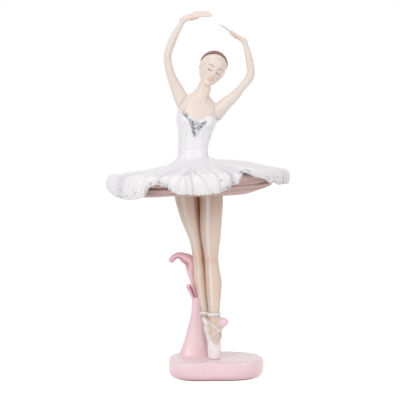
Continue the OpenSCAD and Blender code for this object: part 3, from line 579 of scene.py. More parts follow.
for name, side in (("right_arm", -1), ("left_arm", 1)):
    arm = body.copy()
    reach_in = outside(name)
    arm.f += 0.1 * ease(0.4, -0.4, reach_in).astype(np.float32)
    arm.cut(whole, -(reach_in + 1.6))
    arm.cut(whole, -side * (X + 1.0))  # the other hand isn't part of this arm
    p, q = arm.mesh()
    wrist = right_wrist if side < 0 else left_wrist
    palm = wrist + unit((right_knuckles if side < 0 else left_knuckles) - wrist) * 6 - vec(0, 0, 2.6)
    elbow = spot(low["right_arm"][0] + 4.5, -8, 1.55) if side < 0 else spot(high["left_arm"][0] - 3, -8, 1.33)
    # The warm wash under the palm is painted shade; at the elbow it is a warm tint.
    piece(name, p, q, skin, skin_masks(body, p, {
        "warm_tint_and_shade": 0.9 * near_points(p, [palm], 4.2) + 0.35 * near_points(p, [elbow], 6),
        "rose": 0.25 * near_points(p, [wrist + (palm - wrist) * 2.6], 5)}))

chest = body.copy()
chest.cut(whole, maximum(outside("right_arm"), outside("left_arm")))
chest.cut(whole, -(over_line + 2.2))
p, q = chest.mesh()
piece("chest", p, q, skin, skin_masks(body, p, {
    "warm_tint_and_shade": 0.3 * near_points(p, [spot(-5, -4, 1.14)], 6) + 0.16}))


def bodice_middle(z):
    """Where the middle of the bodice is at height z."""
    return interp(z, [waist_z, torso_z(0.38), torso_z(0.7)], [-17.4, -18.3, -15.5])


# Bodice: a thin layer over the body, with cups, seams, a rolled top edge and a flared lower edge
top = body.copy()
top.f -= 0.42
for c, r in ((spot(-23.6, -7.6, 0.725), vec(6.0, 4.6, 5.2)), (spot(-7.4, -7.9, 0.69), vec(6.2, 4.7, 5.2))):
    top.blob(c, r, 2.4)
top.blob(spot(-15.2, -13.6, 0.66), vec(2.0, 2.6, 5.6), 1.6, dig=True)
top.blur(1)
outer = top.copy()
top.cut(whole, maximum(outside("right_arm"), outside("left_arm")) - 0.5, 0.4)
top.cut(whole, over_line + 0.1, 0.5)
edge_x = linspace(-29.6, -0.4, 60)
edge = stack([edge_x, np.zeros(60), interp(edge_x, neck_x, neck_z) - 0.5], -1)
for side in (-1, 1):
    rim = edge.copy()
    rim[:, 1] = side * outer.reach(rim, [[0, side, 0]] * 60, 16)
    top.tube(rim, np.full(60, 0.42), 0.35)
p, q = top.mesh()
n = normals(p, q)
across = p[:, 0] - bodice_middle(p[:, 2])
depth = np.zeros(len(p))
below_cups = ease(torso_z(0.66), torso_z(0.6), p[:, 2])
for at_x, lean in ((0.6, 0.0), (-7.4, 0.05), (8.2, -0.05), (-12.2, 0.0), (12.6, 0.0)):
    line = np.abs(across - at_x - lean * (p[:, 2] - torso_z(0.4)))
    depth += (0.2 * bell(line, 0.35) * (below_cups if abs(at_x) > 1
        else ease(torso_z(0.52), torso_z(0.5), p[:, 2])))
depth += (n[:, 1] >= 0) * bell(across, 0.4) * 0.5  # under the lacing
creases = (0.14 * sin(p[:, 2] * 1.5 + 1.2 * sin(across * 0.35 + p[:, 2] * 0.12))
    * bell(p[:, 2] - torso_z(0.36), 5))
creases += 0.16 * sin(across * 1.25 + 0.6) * ease(torso_z(0.3), torso_z(0.19), p[:, 2])
p2 = p + n * (creases - depth)[:, None]
p2[:, 0] -= 1.7 * ease(2, 14, across) * ease(torso_z(0.42), torso_z(0.2), p[:, 2])
# Painted shade in the seams and creases and under the lacing, and a painted highlight on the sides that face
# front and right.
piece("bodice", p2, q, white, {
    "hollow": 0.8 * top.hollows(p, 8, 0.9) + depth * 1.6,
    "painted_sheen": ease(0.2, 0.9, n[:, 0] * 0.5 - n[:, 1] * 0.6)})

# Lacing up the back of the bodice
cross_n = 9
for s, tag in ((-1, "a"), (1, "b")):
    zs = linspace(torso_z(0.24), torso_z(0.7), cross_n)
    xs = bodice_middle(zs) + s * np.where(np.arange(cross_n) % 2, 1.5, -1.5)
    line = curve(stack([xs, zs * 0, zs], -1), 120)
    line[:, 1] = outer.reach(line, [[0, 1, 0]] * 120, 16) + 0.12
    ring = []
    for k in range(len(line)):
        along = unit(line[min(k + 1, 119)] - line[max(k - 1, 0)])
        out = vec(0, 1, 0)
        side_v = unit(cross(along, out))
        a = linspace(0, 2 * pi, 8, endpoint=False)
        ring.append(line[k] + 0.34 * cos(a)[:, None] * side_v + 0.26 * sin(a)[:, None] * out)
    pts, fcs = capped(np.array(ring))
    piece("back_lacing_" + tag, pts, fcs, ribbon_satin, slot="white_paint", sharp=0)

# ---------------------------------------------------------------- neckline beads and straps

ico_t = (1 + 5**0.5) / 2
ico_p = (np.array([[-1, ico_t, 0], [1, ico_t, 0], [-1, -ico_t, 0], [1, -ico_t, 0], [0, -1, ico_t],
    [0, 1, ico_t], [0, -1, -ico_t], [0, 1, -ico_t], [ico_t, 0, -1], [ico_t, 0, 1], [-ico_t, 0, -1],
    [-ico_t, 0, 1]]) / math.hypot(1, ico_t))
ico_f = np.array([[0, 11, 5], [0, 5, 1], [0, 1, 7], [0, 7, 10], [0, 10, 11], [1, 5, 9], [5, 11, 4],
    [11, 10, 2], [10, 7, 6], [7, 1, 8], [3, 9, 4], [3, 4, 2], [3, 2, 6], [3, 6, 8], [3, 8, 9], [4, 9, 5],
    [2, 4, 11], [6, 2, 10], [8, 6, 7], [9, 8, 1]])


def finer(points, faces):
    """Each triangle in four, with the new points on the unit ball."""
    edges = np.sort(concatenate([faces[:, [0, 1]], faces[:, [1, 2]], faces[:, [2, 0]]]), 1)
    keys, back = np.unique(edges, axis=0, return_inverse=True)
    back = back.ravel()
    mids = units(points[keys].mean(1))
    a, b, c = (back[k * len(faces):(k + 1) * len(faces)] + len(points) for k in range(3))
    f = concatenate([stack([faces[:, 0], a, c], 1), stack([faces[:, 1], b, a], 1),
        stack([faces[:, 2], c, b], 1), stack([a, b, c], 1)])
    return concatenate([points, mids]), f


ball_p, ball_f = finer(ico_p, ico_f)


def beads(name, spots, radii, material):
    """Small faceted beads half sunk in the cloth at spots in the front view."""
    n = len(spots)
    centres = stack([spots[:, 0], np.zeros(n), spots[:, 1]], -1)
    centres[:, 1] = -outer.reach(centres, [[0, -1, 0]] * n, 18) - 0.1
    pts = (centres[:, None] + ball_p[None] * radii[:, None, None]).reshape(-1, 3)
    fcs = (ball_f[None] + (np.arange(n) * len(ball_p))[:, None, None]).reshape(-1, 3)
    piece(name, pts, fcs, material, slot="silver_glitter", sharp=20)


def scatter(path, half, gap):
    """Spots spread over a band along a path of (x, share of the torso, width), none closer than gap."""
    draws = rng.random((2600, 2))
    line = curve([[x, torso_z(t), wide] for x, t, wide in path], 200)
    at = draws[:, 0] * 199
    i = minimum(at.astype(int), 198)
    p = line[i, :2] + (line[i + 1, :2] - line[i, :2]) * (at - i)[:, None]
    along = line[i + 1, :2] - line[i, :2]
    side = stack([-along[:, 1], along[:, 0]], 1) / norm(along, axis=1, keepdims=True)
    spots = p + side * ((draws[:, 1] - 0.5) * 2 * (line[i, 2] * half))[:, None]
    kept = []
    for s in spots:
        if all((s[0] - k[0]) ** 2 + (s[1] - k[1]) ** 2 > gap * gap for k in kept[-400:]):
            kept.append(s)
    return np.array(kept)


bands = [
    [[-28.0, 0.825, 0.5], [-26.2, 0.815, 1.0], [-24.4, 0.785, 1.0], [-22.9, 0.757, 0.8]],
    [[-20.2, 0.725, 1.15], [-19.4, 0.68, 1.2], [-18.5, 0.62, 1.0], [-17.7, 0.555, 0.7],
     [-17.2, 0.505, 0.35]],
    [[-15.0, 0.595, 0.5], [-12.8, 0.63, 0.85], [-10.4, 0.665, 1.0], [-7.6, 0.702, 0.5]],
]
dark = concatenate([scatter(path, 1.5, 0.5) for path in bands])
bright = rng.random(len(dark)) < 0.26
beads("neckline_trim", dark[~bright], rng.uniform(0.28, 0.42, int((~bright).sum())), silver)
panel = [[-15.2, 0.56, 0.5], [-15.4, 0.61, 1.2], [-15.2, 0.66, 2.0], [-15.2, 0.7, 2.6]]
below = [[-16.0, 0.52, 0.8], [-14.6, 0.55, 0.8], [-12.6, 0.6, 0.5]]
patch = [[-23.6, 0.77, 0.8], [-21.9, 0.745, 1.1], [-20.4, 0.73, 0.8]]
marks = ((panel, 1.0, 0.7), (below, 1.0, 0.9), (patch, 1.2, 0.62))
mixed = concatenate([scatter(path, half, gap) for path, half, gap in marks])
grey = rng.random(len(mixed)) < 0.34
pale = concatenate([dark[bright], mixed[~grey]])
beads("neckline_crystals", mixed[grey], rng.uniform(0.24, 0.36, int(grey.sum())), silver)
beads("neckline_pearls", pale, rng.uniform(0.26, 0.38, len(pale)), pearl)

# ---------------------------------------------------------------- straps and ribbons

RIBBON_CROWN = 0.12


def band(name, path, outs, width, thick, slot, stands_for=None):
    """A soft-edged band of ribbon along path, with outs its outward normals."""
    along = units(np.gradient(path, axis=0))
    side = units(cross(outs, along))
    up = cross(along, side)
    a = linspace(0, 2 * pi, 20, endpoint=False)
    u = np.sign(cos(a)) * np.abs(cos(a)) ** 0.55
    v = np.sign(sin(a)) * np.abs(sin(a)) ** 0.7
    rings = (path[:, None] + side[:, None] * (u * (width / 2))[None, :, None]
             + up[:, None] * (v * thick / 2 + RIBBON_CROWN * (1 - u**2))[None, :, None])
    pts, fcs = capped(rings)
    # The ribbon's edges get painted shade.
    piece(name, pts, fcs, ribbon_satin, {"hollow": with_caps(np.tile(np.abs(u) ** 6 * 0.6, len(path)))},
        slot, stands_for, sharp=0)


def over_shoulder(front, ridge, back):
    """Points of a strap from the front of the bodice, over the shoulder, to its back."""
    pts = []
    for t in linspace(0, 1, 28):
        x, z = front + (ridge - front) * t
        pts.append([x, -body.reach([[x, 0.5, z]], [[0, -1, 0]], 16)[0] + 0.5, z])
    top_y = linspace(pts[-1][1], body.reach([[ridge[0], 0.5, ridge[1]]], [[0, 1, 0]], 16)[0] + 0.5, 9)[1:-1]
    for y in top_y:
        z = ridge[1] - 2 + body.reach([[ridge[0], y, ridge[1] - 2]], [[0, 0, 1]], 9)[0]
        pts.append([ridge[0], y, z])
    for t in linspace(1, 0, 28):
        x, z = back + (ridge - back) * t
        pts.append([x, body.reach([[x, 0.5, z]], [[0, 1, 0]], 16)[0] + 0.5, z])
    pts = np.array(pts)
    even_out(pts, 6)
    h = 0.4
    grad = stack([body.at(pts + h * e) - body.at(pts - h * e) for e in np.eye(3)], -1)
    grad /= maximum(norm(grad, axis=1, keepdims=True), 1e-6)
    return pts + grad * 0.28, grad


for name, front_p, ridge_p, back_p in (
        ("right_strap", vec(-26.6, torso_z(0.825)), vec(-22.8, torso_z(0.985)), vec(-24, torso_z(0.8))),
        ("left_strap", vec(-3.0, torso_z(0.765)), vec(-2.8, torso_z(0.9)), vec(-5, torso_z(0.75)))):
    path, outs = over_shoulder(front_p, ridge_p, back_p)
    band(name, path, outs, 1.15, 0.55, "white_paint")

# ---------------------------------------------------------------- legs and shoes


def foot_form(side):
    names = [f"{side}_leg", f"{side}_shoe"]
    lo, hi = span_of(names, 3)
    clay = Clay(lo, hi, CLAY_STEP)
    clay.nodes(names + [f"{side}_leg_rod", f"{side}_hip_pin"])
    Zs = clay.axes()[2]
    clay.cut(whole, floor_z - Zs)
    clay.blur(4)
    clay.cut(whole, floor_z + 0.02 - Zs)
    return clay


foot_h = ankle_z - floor_z
knee_z = ankle_z + (leg_top_z - ankle_z) * 0.4375
whole_turn = linspace(0, 360, 140)
# Centre lines are [z, x, y]. Throats are [turn from the front towards +X, share of the foot's height].
feet = {
    "left": {
        "line": [[16, -1.2, -12], [26.5, -1.1, -11.8], [36.3, -0.6, -11], [44.7, 0.4, -9.2], [51, -1.2, -9.5],
                 [60, -1.2, -9]],
        "throat": [[-180, 0.8], [-120, 0.64], [-80, 0.58], [-45, 0.5], [-22, 0.4], [17, 0.325], [48, 0.38],
                   [68, 0.5], [82, 0.7], [96, 0.88], [120, 0.95], [150, 0.92], [180, 0.8]],
        "knee": vec(-3.3, -10.2, knee_z), "instep": 17, "rose": (70, 45.4),
        "heel": (vec(6.4, -9.2, 45.8), vec(3.9, 8.5, 4.2)),
        "ribbons": [[(-82, 48.6), (76, 35.6), (120, 31.5)], [(-62, 31.0), (15, 38.4), (84, 44.0)]]},
    "right": {
        "line": [[16, -1, -1.9], [26.5, -1.3, -0.9], [36.3, -3.5, -0.5], [44.7, -6.0, 0.2], [51, -8.2, -1.9],
                 [60, -8.7, -1.3]],
        "throat": [[-180, 0.95], [-130, 0.94], [-90, 0.93], [-60, 0.94], [-30, 0.93], [-5, 0.9], [12, 0.6],
                   [40, 0.42], [70, 0.55], [100, 0.66], [140, 0.85], [180, 0.95]],
        "knee": vec(-13.6, -3.4, knee_z), "instep": -6, "rose": (175, 44.0),
        "ribbons": [[(-80, 47.6), (70, 34.6), (110, 31.0)], [(-96, 36.0), (-5, 38.4), (80, 46.0)]]},
}

for side, foot in feet.items():
    clay = foot_form(side)
    line = np.array(foot["line"])
    line[:, 0] += floor_z - 16
    axis_x = lambda z: interp(z, line[:, 0], line[:, 1])
    axis_y = lambda z: interp(z, line[:, 0], line[:, 2])
    turns, shares = np.array(foot["throat"]).T
    throat_at = lambda turn: floor_z + foot_h * interp(turn, turns, shares, period=360)
    k = foot["knee"]
    # kneecap, the hollows beside it, and the top of the shin
    knee_y = k[1] + 6 - clay.reach([[k[0], k[1] + 6, k[2]]], [[0, -1, 0]], 18)[0]
    clay.blob(vec(k[0], knee_y + 1.9, k[2] + 0.6), vec(2.9, 2.5, 3.6), 1.6)
    clay.blob(vec(k[0], knee_y + 1.7, k[2] - 5.6), vec(1.7, 2.0, 2.2), 1.4)
    for s in (-1, 1):
        clay.blob(vec(k[0] + s * 4.3, knee_y - 0.2, k[2] + 0.4), vec(1.1, 1.3, 3.2), 1.6, dig=True)
    Xs, Ys, Zs = clay.axes()
    turn = np.degrees(arctan2(Xs - axis_x(Zs), -(Ys - axis_y(Zs))))
    over_throat = ((Zs - throat_at(turn)) / 1.7).astype(np.float32)
    if side == "right":
        clay.cone(vec(-4.2, -0.6, floor_z + 12.6), vec(-8.5, 0, floor_z + 31), 2.4, 2.9, 1.2)
        for at_y in (-5, -1.5, 2):
            clay.cone(vec(-12.3, at_y, floor_z + 27), vec(-18.2, at_y, floor_z + 47), 3.1, 3.1, 1.6, dig=True)
    if "heel" in foot:
        c, r = foot["heel"]
        c = c + vec(0, 0, floor_z - 16)
        clay.blob(c + vec(0.9, 0.6, 0), vec(2.6, 3.4, 3.1), 1.3)
        clay.blob(c + vec(0.8, -0.8, -7.2), vec(2.5, 6, 2.3), 1.5, dig=True)
        in_heel = ((sqrt(((Xs - c[0]) / r[0]) ** 2 + ((Ys - c[1]) / r[1]) ** 2 + ((Zs - c[2]) / r[2]) ** 2)
            - 1) * 3.5)
        over_throat = minimum(over_throat, in_heel).astype(np.float32)
    leg = clay.copy()
    leg.cut(whole, -(over_throat + 1.2))
    leg.cut(whole, Zs - (leg_top_z - 0.1))
    p, q = leg.mesh()
    n = normals(p, q)
    toward = (1 if side == "right" else -1) * n[:, 0]
    fuller = ((0.9 if side == "right" else -1.1) * ease(0.1, 0.9, toward)
        * ease(knee_z + 6, knee_z + 34, p[:, 2]))
    # Painted shade: creases, the inner side where the legs meet, the tops under the skirts and towards the
    # ankles.
    between_legs_shade = ease(0.25, 0.95, toward) * ease(ankle_z - 12, ankle_z + 4, p[:, 2])
    hollow = (0.5 * clay.hollows(p, 10, 0.9) + between_legs_shade * (0.9 if side == "right" else 0.3)
        + 0.42 * ease(leg_top_z - 34, leg_top_z - 8, p[:, 2]) + 0.3 * ease(leg_top_z - 7, leg_top_z, p[:, 2]))
    hollow += 0.3 * ease(ankle_z + 10, ankle_z - 4, p[:, 2]) * (1.0 if side == "right" else 0.5)
    warm_tint_and_shade = (0.9 * near_points(p, [vec(k[0], knee_y, k[2] + 1)], 5.0)
        + 0.4 * near_points(p, [vec(k[0], k[1] + 12, k[2])], 7))
    warm_tint_and_shade += 0.5 * near_points(p, [vec(k[0], knee_y + 3, k[2] - 22)], 9)
    if side == "right":
        warm_tint_and_shade += 0.9 * near_points(p, [vec(k[0] + 5, k[1] + 2, k[2] + 3)], 5.5)
    # A painted highlight streak down the front of each leg.
    highlight_streak = (bell(n[:, 0] + (0.35 if side == "left" else 0.3), 0.16) * (n[:, 1] < 0)
        * ease(ankle_z, ankle_z + 16, p[:, 2]))
    p[:, 0] += fuller
    piece(f"{side}_leg", p, q, tights,
          {"hollow": hollow, "warm_tint_and_shade": warm_tint_and_shade, "painted_sheen": highlight_streak * (0.9 if side == "left" else 0.6)}, "skin_paint")

    shoe = clay.copy()
    shoe.f -= 0.34
    skin_over = shoe.copy()

    def on_foot(turn, z, lift):
        """Points on the shoe at turn and height z, and their outward directions."""
        turn_r = radians(np.asarray(turn, float))
        ways = stack([sin(turn_r), -cos(turn_r), turn_r * 0], -1)
        starts = stack([axis_x(z), axis_y(z), z], -1)
        return starts + ways * (skin_over.reach(starts, ways, 15) + lift)[:, None], ways

    shoe.cut(whole, over_throat, 0.5)
    # a soft binding round the throat
    rim, _ = on_foot(whole_turn, throat_at(whole_turn) - 0.25, -0.12)
    shoe.tube(rim, np.full(len(rim), 0.42), 0.3)
    # the sole, a slim raised tongue on the back of the foot
    sole_z = linspace(floor_z + 4, floor_z + foot_h * 0.76, 10)
    sole, _ = on_foot(np.full(10, foot["instep"] + 180.0), sole_z, -0.9)
    shoe.tube(sole, interp(np.arange(10), [0, 3, 6, 9], [1.2, 1.9, 1.5, 1.3]), 0.5)
    shoe.cut(whole, floor_z + 0.02 - Zs, 0.4)
    p, q = shoe.mesh()
    n = normals(p, q)
    turn = arctan2(p[:, 0] - axis_x(p[:, 2]), -(p[:, 1] - axis_y(p[:, 2])))
    pleats = (0.12 * sin(turn * 22) * ease(floor_z + 7, floor_z + 2.4, p[:, 2])
        * ease(floor_z + 0.3, floor_z + 1.5, p[:, 2]))
    wrinkles = 0.1 * sin(p[:, 2] * 2.1 + 2 * sin(turn * 2)) * ease(floor_z + 6, floor_z + 12, p[:, 2])
    rose_turn, rose_z = foot["rose"]
    facing = cos(turn - math.radians(rose_turn))
    rose = ease(0.25, 0.75, facing) * ease(rose_z - 5.0, rose_z - 2.5, p[:, 2])
    # Painted shade in the creases and pleats, and a grey painted shade where the toe meets the base.
    piece(f"{side}_shoe", p + n * (pleats + wrinkles)[:, None], q, shoe_satin, {
        "hollow": 0.9 * shoe.hollows(p, 5, 0.5) + clip(-pleats * 5, 0, 1) * 0.5,
        "rose": rose, "grey": 0.3 * ease(1.2, 0.2, p[:, 2] - floor_z)})

    # two ribbons cross the instep, and one winds round the ankle
    for order, spots in enumerate(foot["ribbons"]):
        way = curve(spots, 60)
        path, outs = on_foot(way[:, 0], way[:, 1] + floor_z - 16, 0.42 - 0.3 * order)
        even_out(path, 5)
        band(f"{side}_ribbon_{'ab'[order]}", path, outs, 1.35 if order == 0 else 1.1, 0.45, "shoe_paint",
             [f"{side}_ribbons"] if order == 0 else None)
    t = linspace(0, 1, 150)
    path, outs = on_foot(foot["instep"] + 30 + 360 * 2.15 * t, ankle_z + 0.4 + 1.7 * t + 0.3 * sin(t * 17),
        0.25 + 0.2 * t)
    even_out(path, 3)
    band(f"{side}_ankle_ribbon", path, outs, 1.7, 0.5, "shoe_paint")

# ---------------------------------------------------------------- tutu

# Waves of the hem at the back: [azimuth, width, lift, power]
hem_waves = [[-54, 17, -5.6, 2], [-28, 5.5, 5.4, 2], [1, 19, -5.4, 4], [30, 7.5, 8.6, 2], [66, 13, -4.2, 2],
             [104, 12, -3, 2], [128, 7, 6, 2], [156, 16, -4.6, 4], [186, 7, 5, 2], [214, 15, -4.8, 4],
             [240, 7, 5.6, 2], [258, 9, -2.6, 2]]
over_r = (high["overskirt"][0] - low["overskirt"][0]) / 2
crown_z = waist_z - 0.2
seat_w, seat_d = 25.8, 19.8  # the oval of the waist that the skirts sit on

# The hem in front: [azimuth, height over the hips]
hem_front = np.array([[-110, -12], [-90, -9.8], [-80, -10.8], [-66.8, -15.1], [-55.5, -17.8], [-48, -18.0],
    [-38.6, -16.6], [-34, -15.2], [-33.0, -12.2], [-31.9, -9.6], [-29.8, -7.4], [-27, -6.3], [-23.4, -6.3],
    [-20.5, -7.2], [-18.2, -8.4], [-15.0, -10.9], [-11.9, -13.0], [-8.9, -13.3], [0.3, -13.2], [7.9, -12.7],
    [14.5, -11.6], [17.3, -9.6], [21.8, -6.5], [25.2, -5.1], [27.4, 0.0], [29.0, 4.0], [34.0, 2.4],
    [39.3, 0], [46.9, -1.8], [49.7, -4.2], [53.4, -5.4], [57.0, -4.8], [61.3, -6.6], [70.4, -6.3],
    [90, -6.0], [110, -4]])


def hem_level(q):
    """Height of the hem at azimuth q: design points in front, waves at the back."""
    z = -8 + 6 * sin(radians(q))
    for at_q, wide, lift, power in hem_waves:
        z = z + lift * exp(-(np.abs(gap_deg(q, at_q)) / wide) ** power)
    turn = gap_deg(q, 0)
    front = sum(interp(turn + step, hem_front[:, 0], hem_front[:, 1]) for step in (-0.4, 0, 0.4)) / 3
    share = ease(104, 84, np.abs(turn))
    return hip_z + z + (front - z) * share


def seat_edge(q):
    a = radians(q)
    return 1 / sqrt((sin(a) / (seat_w / 2)) ** 2 + (cos(a) / (seat_d / 2)) ** 2)


def skirt_top(q, t):
    s = sin(radians(q))
    rim = maximum(crown_z - 9 + 2.4 * s, hem_level(q) + 3.4)
    return crown_z + (rim - crown_z) * t + 1.4 * sin(pi * t) * s


def to_space(q, r, z):
    a = radians(q)
    return stack([body_x + r * sin(a), -r * cos(a), z + 0 * a], -1)


# Folds: [azimuth at the rim, azimuth at the hem, half width, depth]
folds = [[-33, -36, 1.5, 0.6], [-22, -25, 1.3, 0.6], [-15, -19, 1.2, 0.55], [-7.9, -12.9, 1.1, 0.75],
    [-7.0, -6.0, 0.9, 0.7], [-5.0, -1.8, 1.0, 1.2], [-1.4, 9.2, 1.1, 1.5], [4.5, 14.5, 1.3, 0.5],
    [10.6, 15.0, 1.1, 1.15], [20.6, 21.5, 1.1, 1.2], [24.2, 25.4, 1.3, -0.9]]
folds += [[-46, -45, 2.0, 0.25], [-58, -57, 2.4, 0.3], [-74, -72, 2.6, 0.3]]
for at_q in np.arange(33, 268, 7.6):
    at_q = at_q + rng.uniform(-2.4, 2.4)
    folds.append([at_q, at_q + rng.uniform(-2.5, 2.5), rng.uniform(1.2, 2.6), rng.uniform(0.3, 0.85)])


def fold_depth(q, out, fall):
    """Depth of the folds at azimuth q, share out of the way to the rim and share fall of the drop."""
    d = np.zeros(np.broadcast(q, out).shape)
    for rim_q, hem_q, wide, deep in folds:
        g = (gap_deg(q, rim_q + (hem_q - rim_q) * (fall + 0.25 * (out - 1)))
            / (wide * (1.3 - 0.3 * minimum(out, 1))))
        d += deep * (exp(-g * g) - 0.3 * bell(np.abs(g) - 2.0, 1.0))
    return d * ease(0.3, 1.0, out) * (1 - 0.45 * fall)


def sway(q, out):
    """Broad swells between the folds."""
    a = radians(q)
    return ((0.5 * sin(9 * a + 1.3) + 0.35 * sin(14 * a + 4.1 + 1.5 * out) + 0.25 * sin(23 * a + 0.7))
        * ease(0.2, 1, out))


def profile(q):
    """Key points (r, z) of the tutu's outer face, from the waist over the rim to the hem, by azimuth."""
    r_in = seat_edge(q)
    z_rim = skirt_top(q, 1)
    hem = minimum(hem_level(q), z_rim - 2.8)
    keys = [[r_in + (over_r - r_in) * t, skirt_top(q, t)] for t in (0, 0.1, 0.25, 0.4, 0.55, 0.7, 0.85, 1)]
    fall = z_rim - hem
    keys += [[hem_r - 3.4 + 0 * q, z_rim - 0.05 * fall], [hem_r - 1.3 + 0 * q, z_rim - 0.2 * fall],
        [hem_r + 0 * q, z_rim - 0.48 * fall], [hem_r - 0.5 + 0 * q, z_rim - 0.85 * fall],
        [hem_r - 1.6 - 1.8 * bell(gap_deg(q, -86), 16), hem]]
    return np.array(keys)


def folded(q, rows, outs, falls, amount=1.0):
    """Moves rows of (r, z) along their own normals by the folds."""
    dr = np.gradient(rows[:, 0], axis=0)
    dz = np.gradient(rows[:, 1], axis=0)
    size = sqrt(dr * dr + dz * dz) + 1e-9
    move = amount * (sway(q[None], outs[:, None]) * 0.8 - fold_depth(q[None], outs[:, None], falls[:, None]))
    return rows[:, 0] - dz / size * move, rows[:, 1] + dr / size * move, move


def shell(q, outer_r, outer_z, inner_r, inner_z):
    """A closed skin: outer rows going out, inner rows coming back."""
    r = concatenate([outer_r, inner_r[::-1]])
    z = concatenate([outer_z, inner_z[::-1]])
    pts = to_space(q[None], r, z)
    return pts.reshape(-1, 3), lattice(len(r), len(q), close=True)[:, ::-1]


def bodice_edge(q):
    """How far the foot of the bodice is from the tutu's axis."""
    a = radians(q)
    r = linspace(6, 20, 141)[:, None]
    x = r * sin(a)[None] + body_x + 17.4
    y = r * cos(a)[None]
    return r[np.argmax((x / np.where(x > 0, 14.2, 15.4)) ** 2 + (y / 12.0) ** 2 > 1, 0), 0]


q = linspace(-180, 180, 960, endpoint=False)
keys = profile(q)
top_n, under_n = 90, 30  # rows above and below
steps_top = linspace(0, 7, top_n)
rows = spline(keys[:8], steps_top)
outs_top = steps_top / 7
r_o, z_o, move = folded(q, rows, outs_top, 0 * outs_top)
past_waist = maximum(r_o - bodice_edge(q)[None], 0)
z_o = z_o + 2.5 * bell(past_waist, 3.0)
z_o = z_o + 1.5 * bell(gap_deg(q, 100), 48)[None] * ease(0, 9, past_waist) * ease(48, 26, past_waist)
gathers = sin(58 * radians(q) + 1.5 * sin(7 * radians(q)))[None] * bell(past_waist - 4, 6)
z_o = z_o + 0.13 * gathers
thick = 1.5
in_rows = spline(keys[:8], linspace(0, 7, under_n))
r_i, z_i, _ = folded(q, in_rows, linspace(0, 1, under_n), np.zeros(under_n), 0.7)
pts, quads = shell(q, r_o, z_o, r_i, z_i - thick - 0.8 * linspace(1, 0, under_n)[:, None] ** 4)
# Painted shade in the fold valleys and gathers and over the underside, and a painted highlight on the raised
# folds.
hollow = concatenate([clip(-move * 0.7 - 0.12 * gathers, 0, 1), np.full((under_n, len(q)), 0.5)]).ravel()
piece("overskirt", pts, quads, white, {"hollow": hollow,
    "painted_sheen": concatenate([clip(move, 0, 1) * 0.8, np.zeros((under_n, len(q)))]).ravel()}, sharp=70)

# The lace rim: the same face carried over the edge, with scallops, picots and small holes
q = linspace(-180, 180, 1440, endpoint=False)
keys = profile(q)
rim_n = 84
steps_rim = linspace(7, 12, rim_n)
rows = spline(keys, steps_rim)
share = (steps_rim - 7) / 5
r_o, z_o, move = folded(q, rows, np.ones(rim_n), share)
a = radians(q)
beat = 74 * a + 0.9 * sin(5 * a) + 0.6 * sin(11 * a + 2)
scallop = np.abs(sin(beat))
low_part = ease(0.45, 1, share)[:, None]
z_o = z_o + low_part * (0.75 * (0.55 - scallop) + 0.12 * sin(beat * 4))[None]
r_o = r_o + (0.28 * low_part * (scallop - 0.5)[None] + 0.2 * bell(share - 0.93, 0.05)[:, None])
# a fainter row of scallops where the lace leaves the skirt
top_band = bell(share[:, None] - 0.13 - 0.05 * scallop[None], 0.04)
row_z = z_o - z_o[-1][None]
# Holes: [azimuth, height over the hem, radius, strength]
holes = [[-74.6, 3.8, 0.9, 0.9], [-55, 7.2, 1.2, 0.55], [-55, 1.5, 0.7, 1.0], [-73, 6.9, 0.5, 0.6],
    [14.2, 9.1, 1.0, 0.6], [19, 4.9, 0.8, 0.5], [17.7, 1.7, 0.8, 1.0], [13.3, 3.4, 0.6, 0.6],
    [22.6, 10.2, 1.0, 0.75], [26.3, 6.6, 0.8, 0.5], [66.4, 1.5, 1.0, 1.0], [-23.7, 1.8, 0.9, 0.8],
    [-29, 2.2, 0.8, 0.5], [-3, 2.0, 0.6, 0.6]]
for k in range(148):
    holes.append([-180 + 360 * (k + 0.5 + rng.uniform(-0.25, 0.25)) / 148, rng.uniform(1.5, 2.3),
        rng.uniform(0.3, 0.5), rng.uniform(0.15, 0.5)])
for k in range(132):
    holes.append([-180 + 360 * (k + rng.uniform(-0.2, 0.2)) / 132, rng.uniform(4.0, 4.8),
        rng.uniform(0.3, 0.45), rng.uniform(0.1, 0.5)])
for k in range(90):
    holes.append([rng.uniform(-180, 180), rng.uniform(2.6, 12), rng.uniform(0.3, 0.6), rng.uniform(0.1, 0.5)])
for k in range(26):
    holes.append([rng.uniform(40, 320), rng.uniform(1.2, 4.5), rng.uniform(0.6, 1.1), rng.uniform(0.5, 1.0)])
for from_q, to_q, count in ((14, 33, 34), (-34, -15, 24), (-86, -60, 20), (44, 84, 22)):
    for k in range(count):
        holes.append([rng.uniform(from_q, to_q), rng.uniform(0.5, 2.4), rng.uniform(0.34, 0.56),
            rng.uniform(0.5, 1.0)])
pit = np.zeros_like(r_o)
step_deg = 360 / len(q)
for at_q, up_z, size, strength in holes:
    i0 = int(round((at_q + 180) / step_deg))
    reach = int(3 * size / (hem_r * math.radians(step_deg))) + 2
    idx = np.arange(i0 - reach, i0 + reach + 1) % len(q)
    du = gap_deg(q[idx], at_q) * math.radians(1) * hem_r
    dv = row_z[:, idx] - up_z
    pit[:, idx] = maximum(pit[:, idx], strength * exp(-((du[None] / size) ** 2 + (dv / size) ** 2) ** 1.3))
dr, dz = np.gradient(r_o, axis=0), np.gradient(z_o, axis=0)
size = sqrt(dr * dr + dz * dz) + 1e-9
push = 0.28 * top_band - 0.62 * pit
r_o, z_o = r_o - dz / size * push, z_o + dr / size * push
back_n = 24
back = linspace(0, 1, back_n)[:, None]
r_i = (interp(back.ravel(), [0, 0.25, 0.75, 1], [0, -2.6, -2.9, -2.0])[:, None] + r_o[-1][None] * (1 - back)
    + (rows[0, 0][None] + 2.2) * back)
z_i = (z_o[-1][None] - 0.1 * sin(pi * back) + (z_o[0][None] - 1.6 - z_o[-1][None]) * maximum(0, back - 0.1)
    / 0.9)
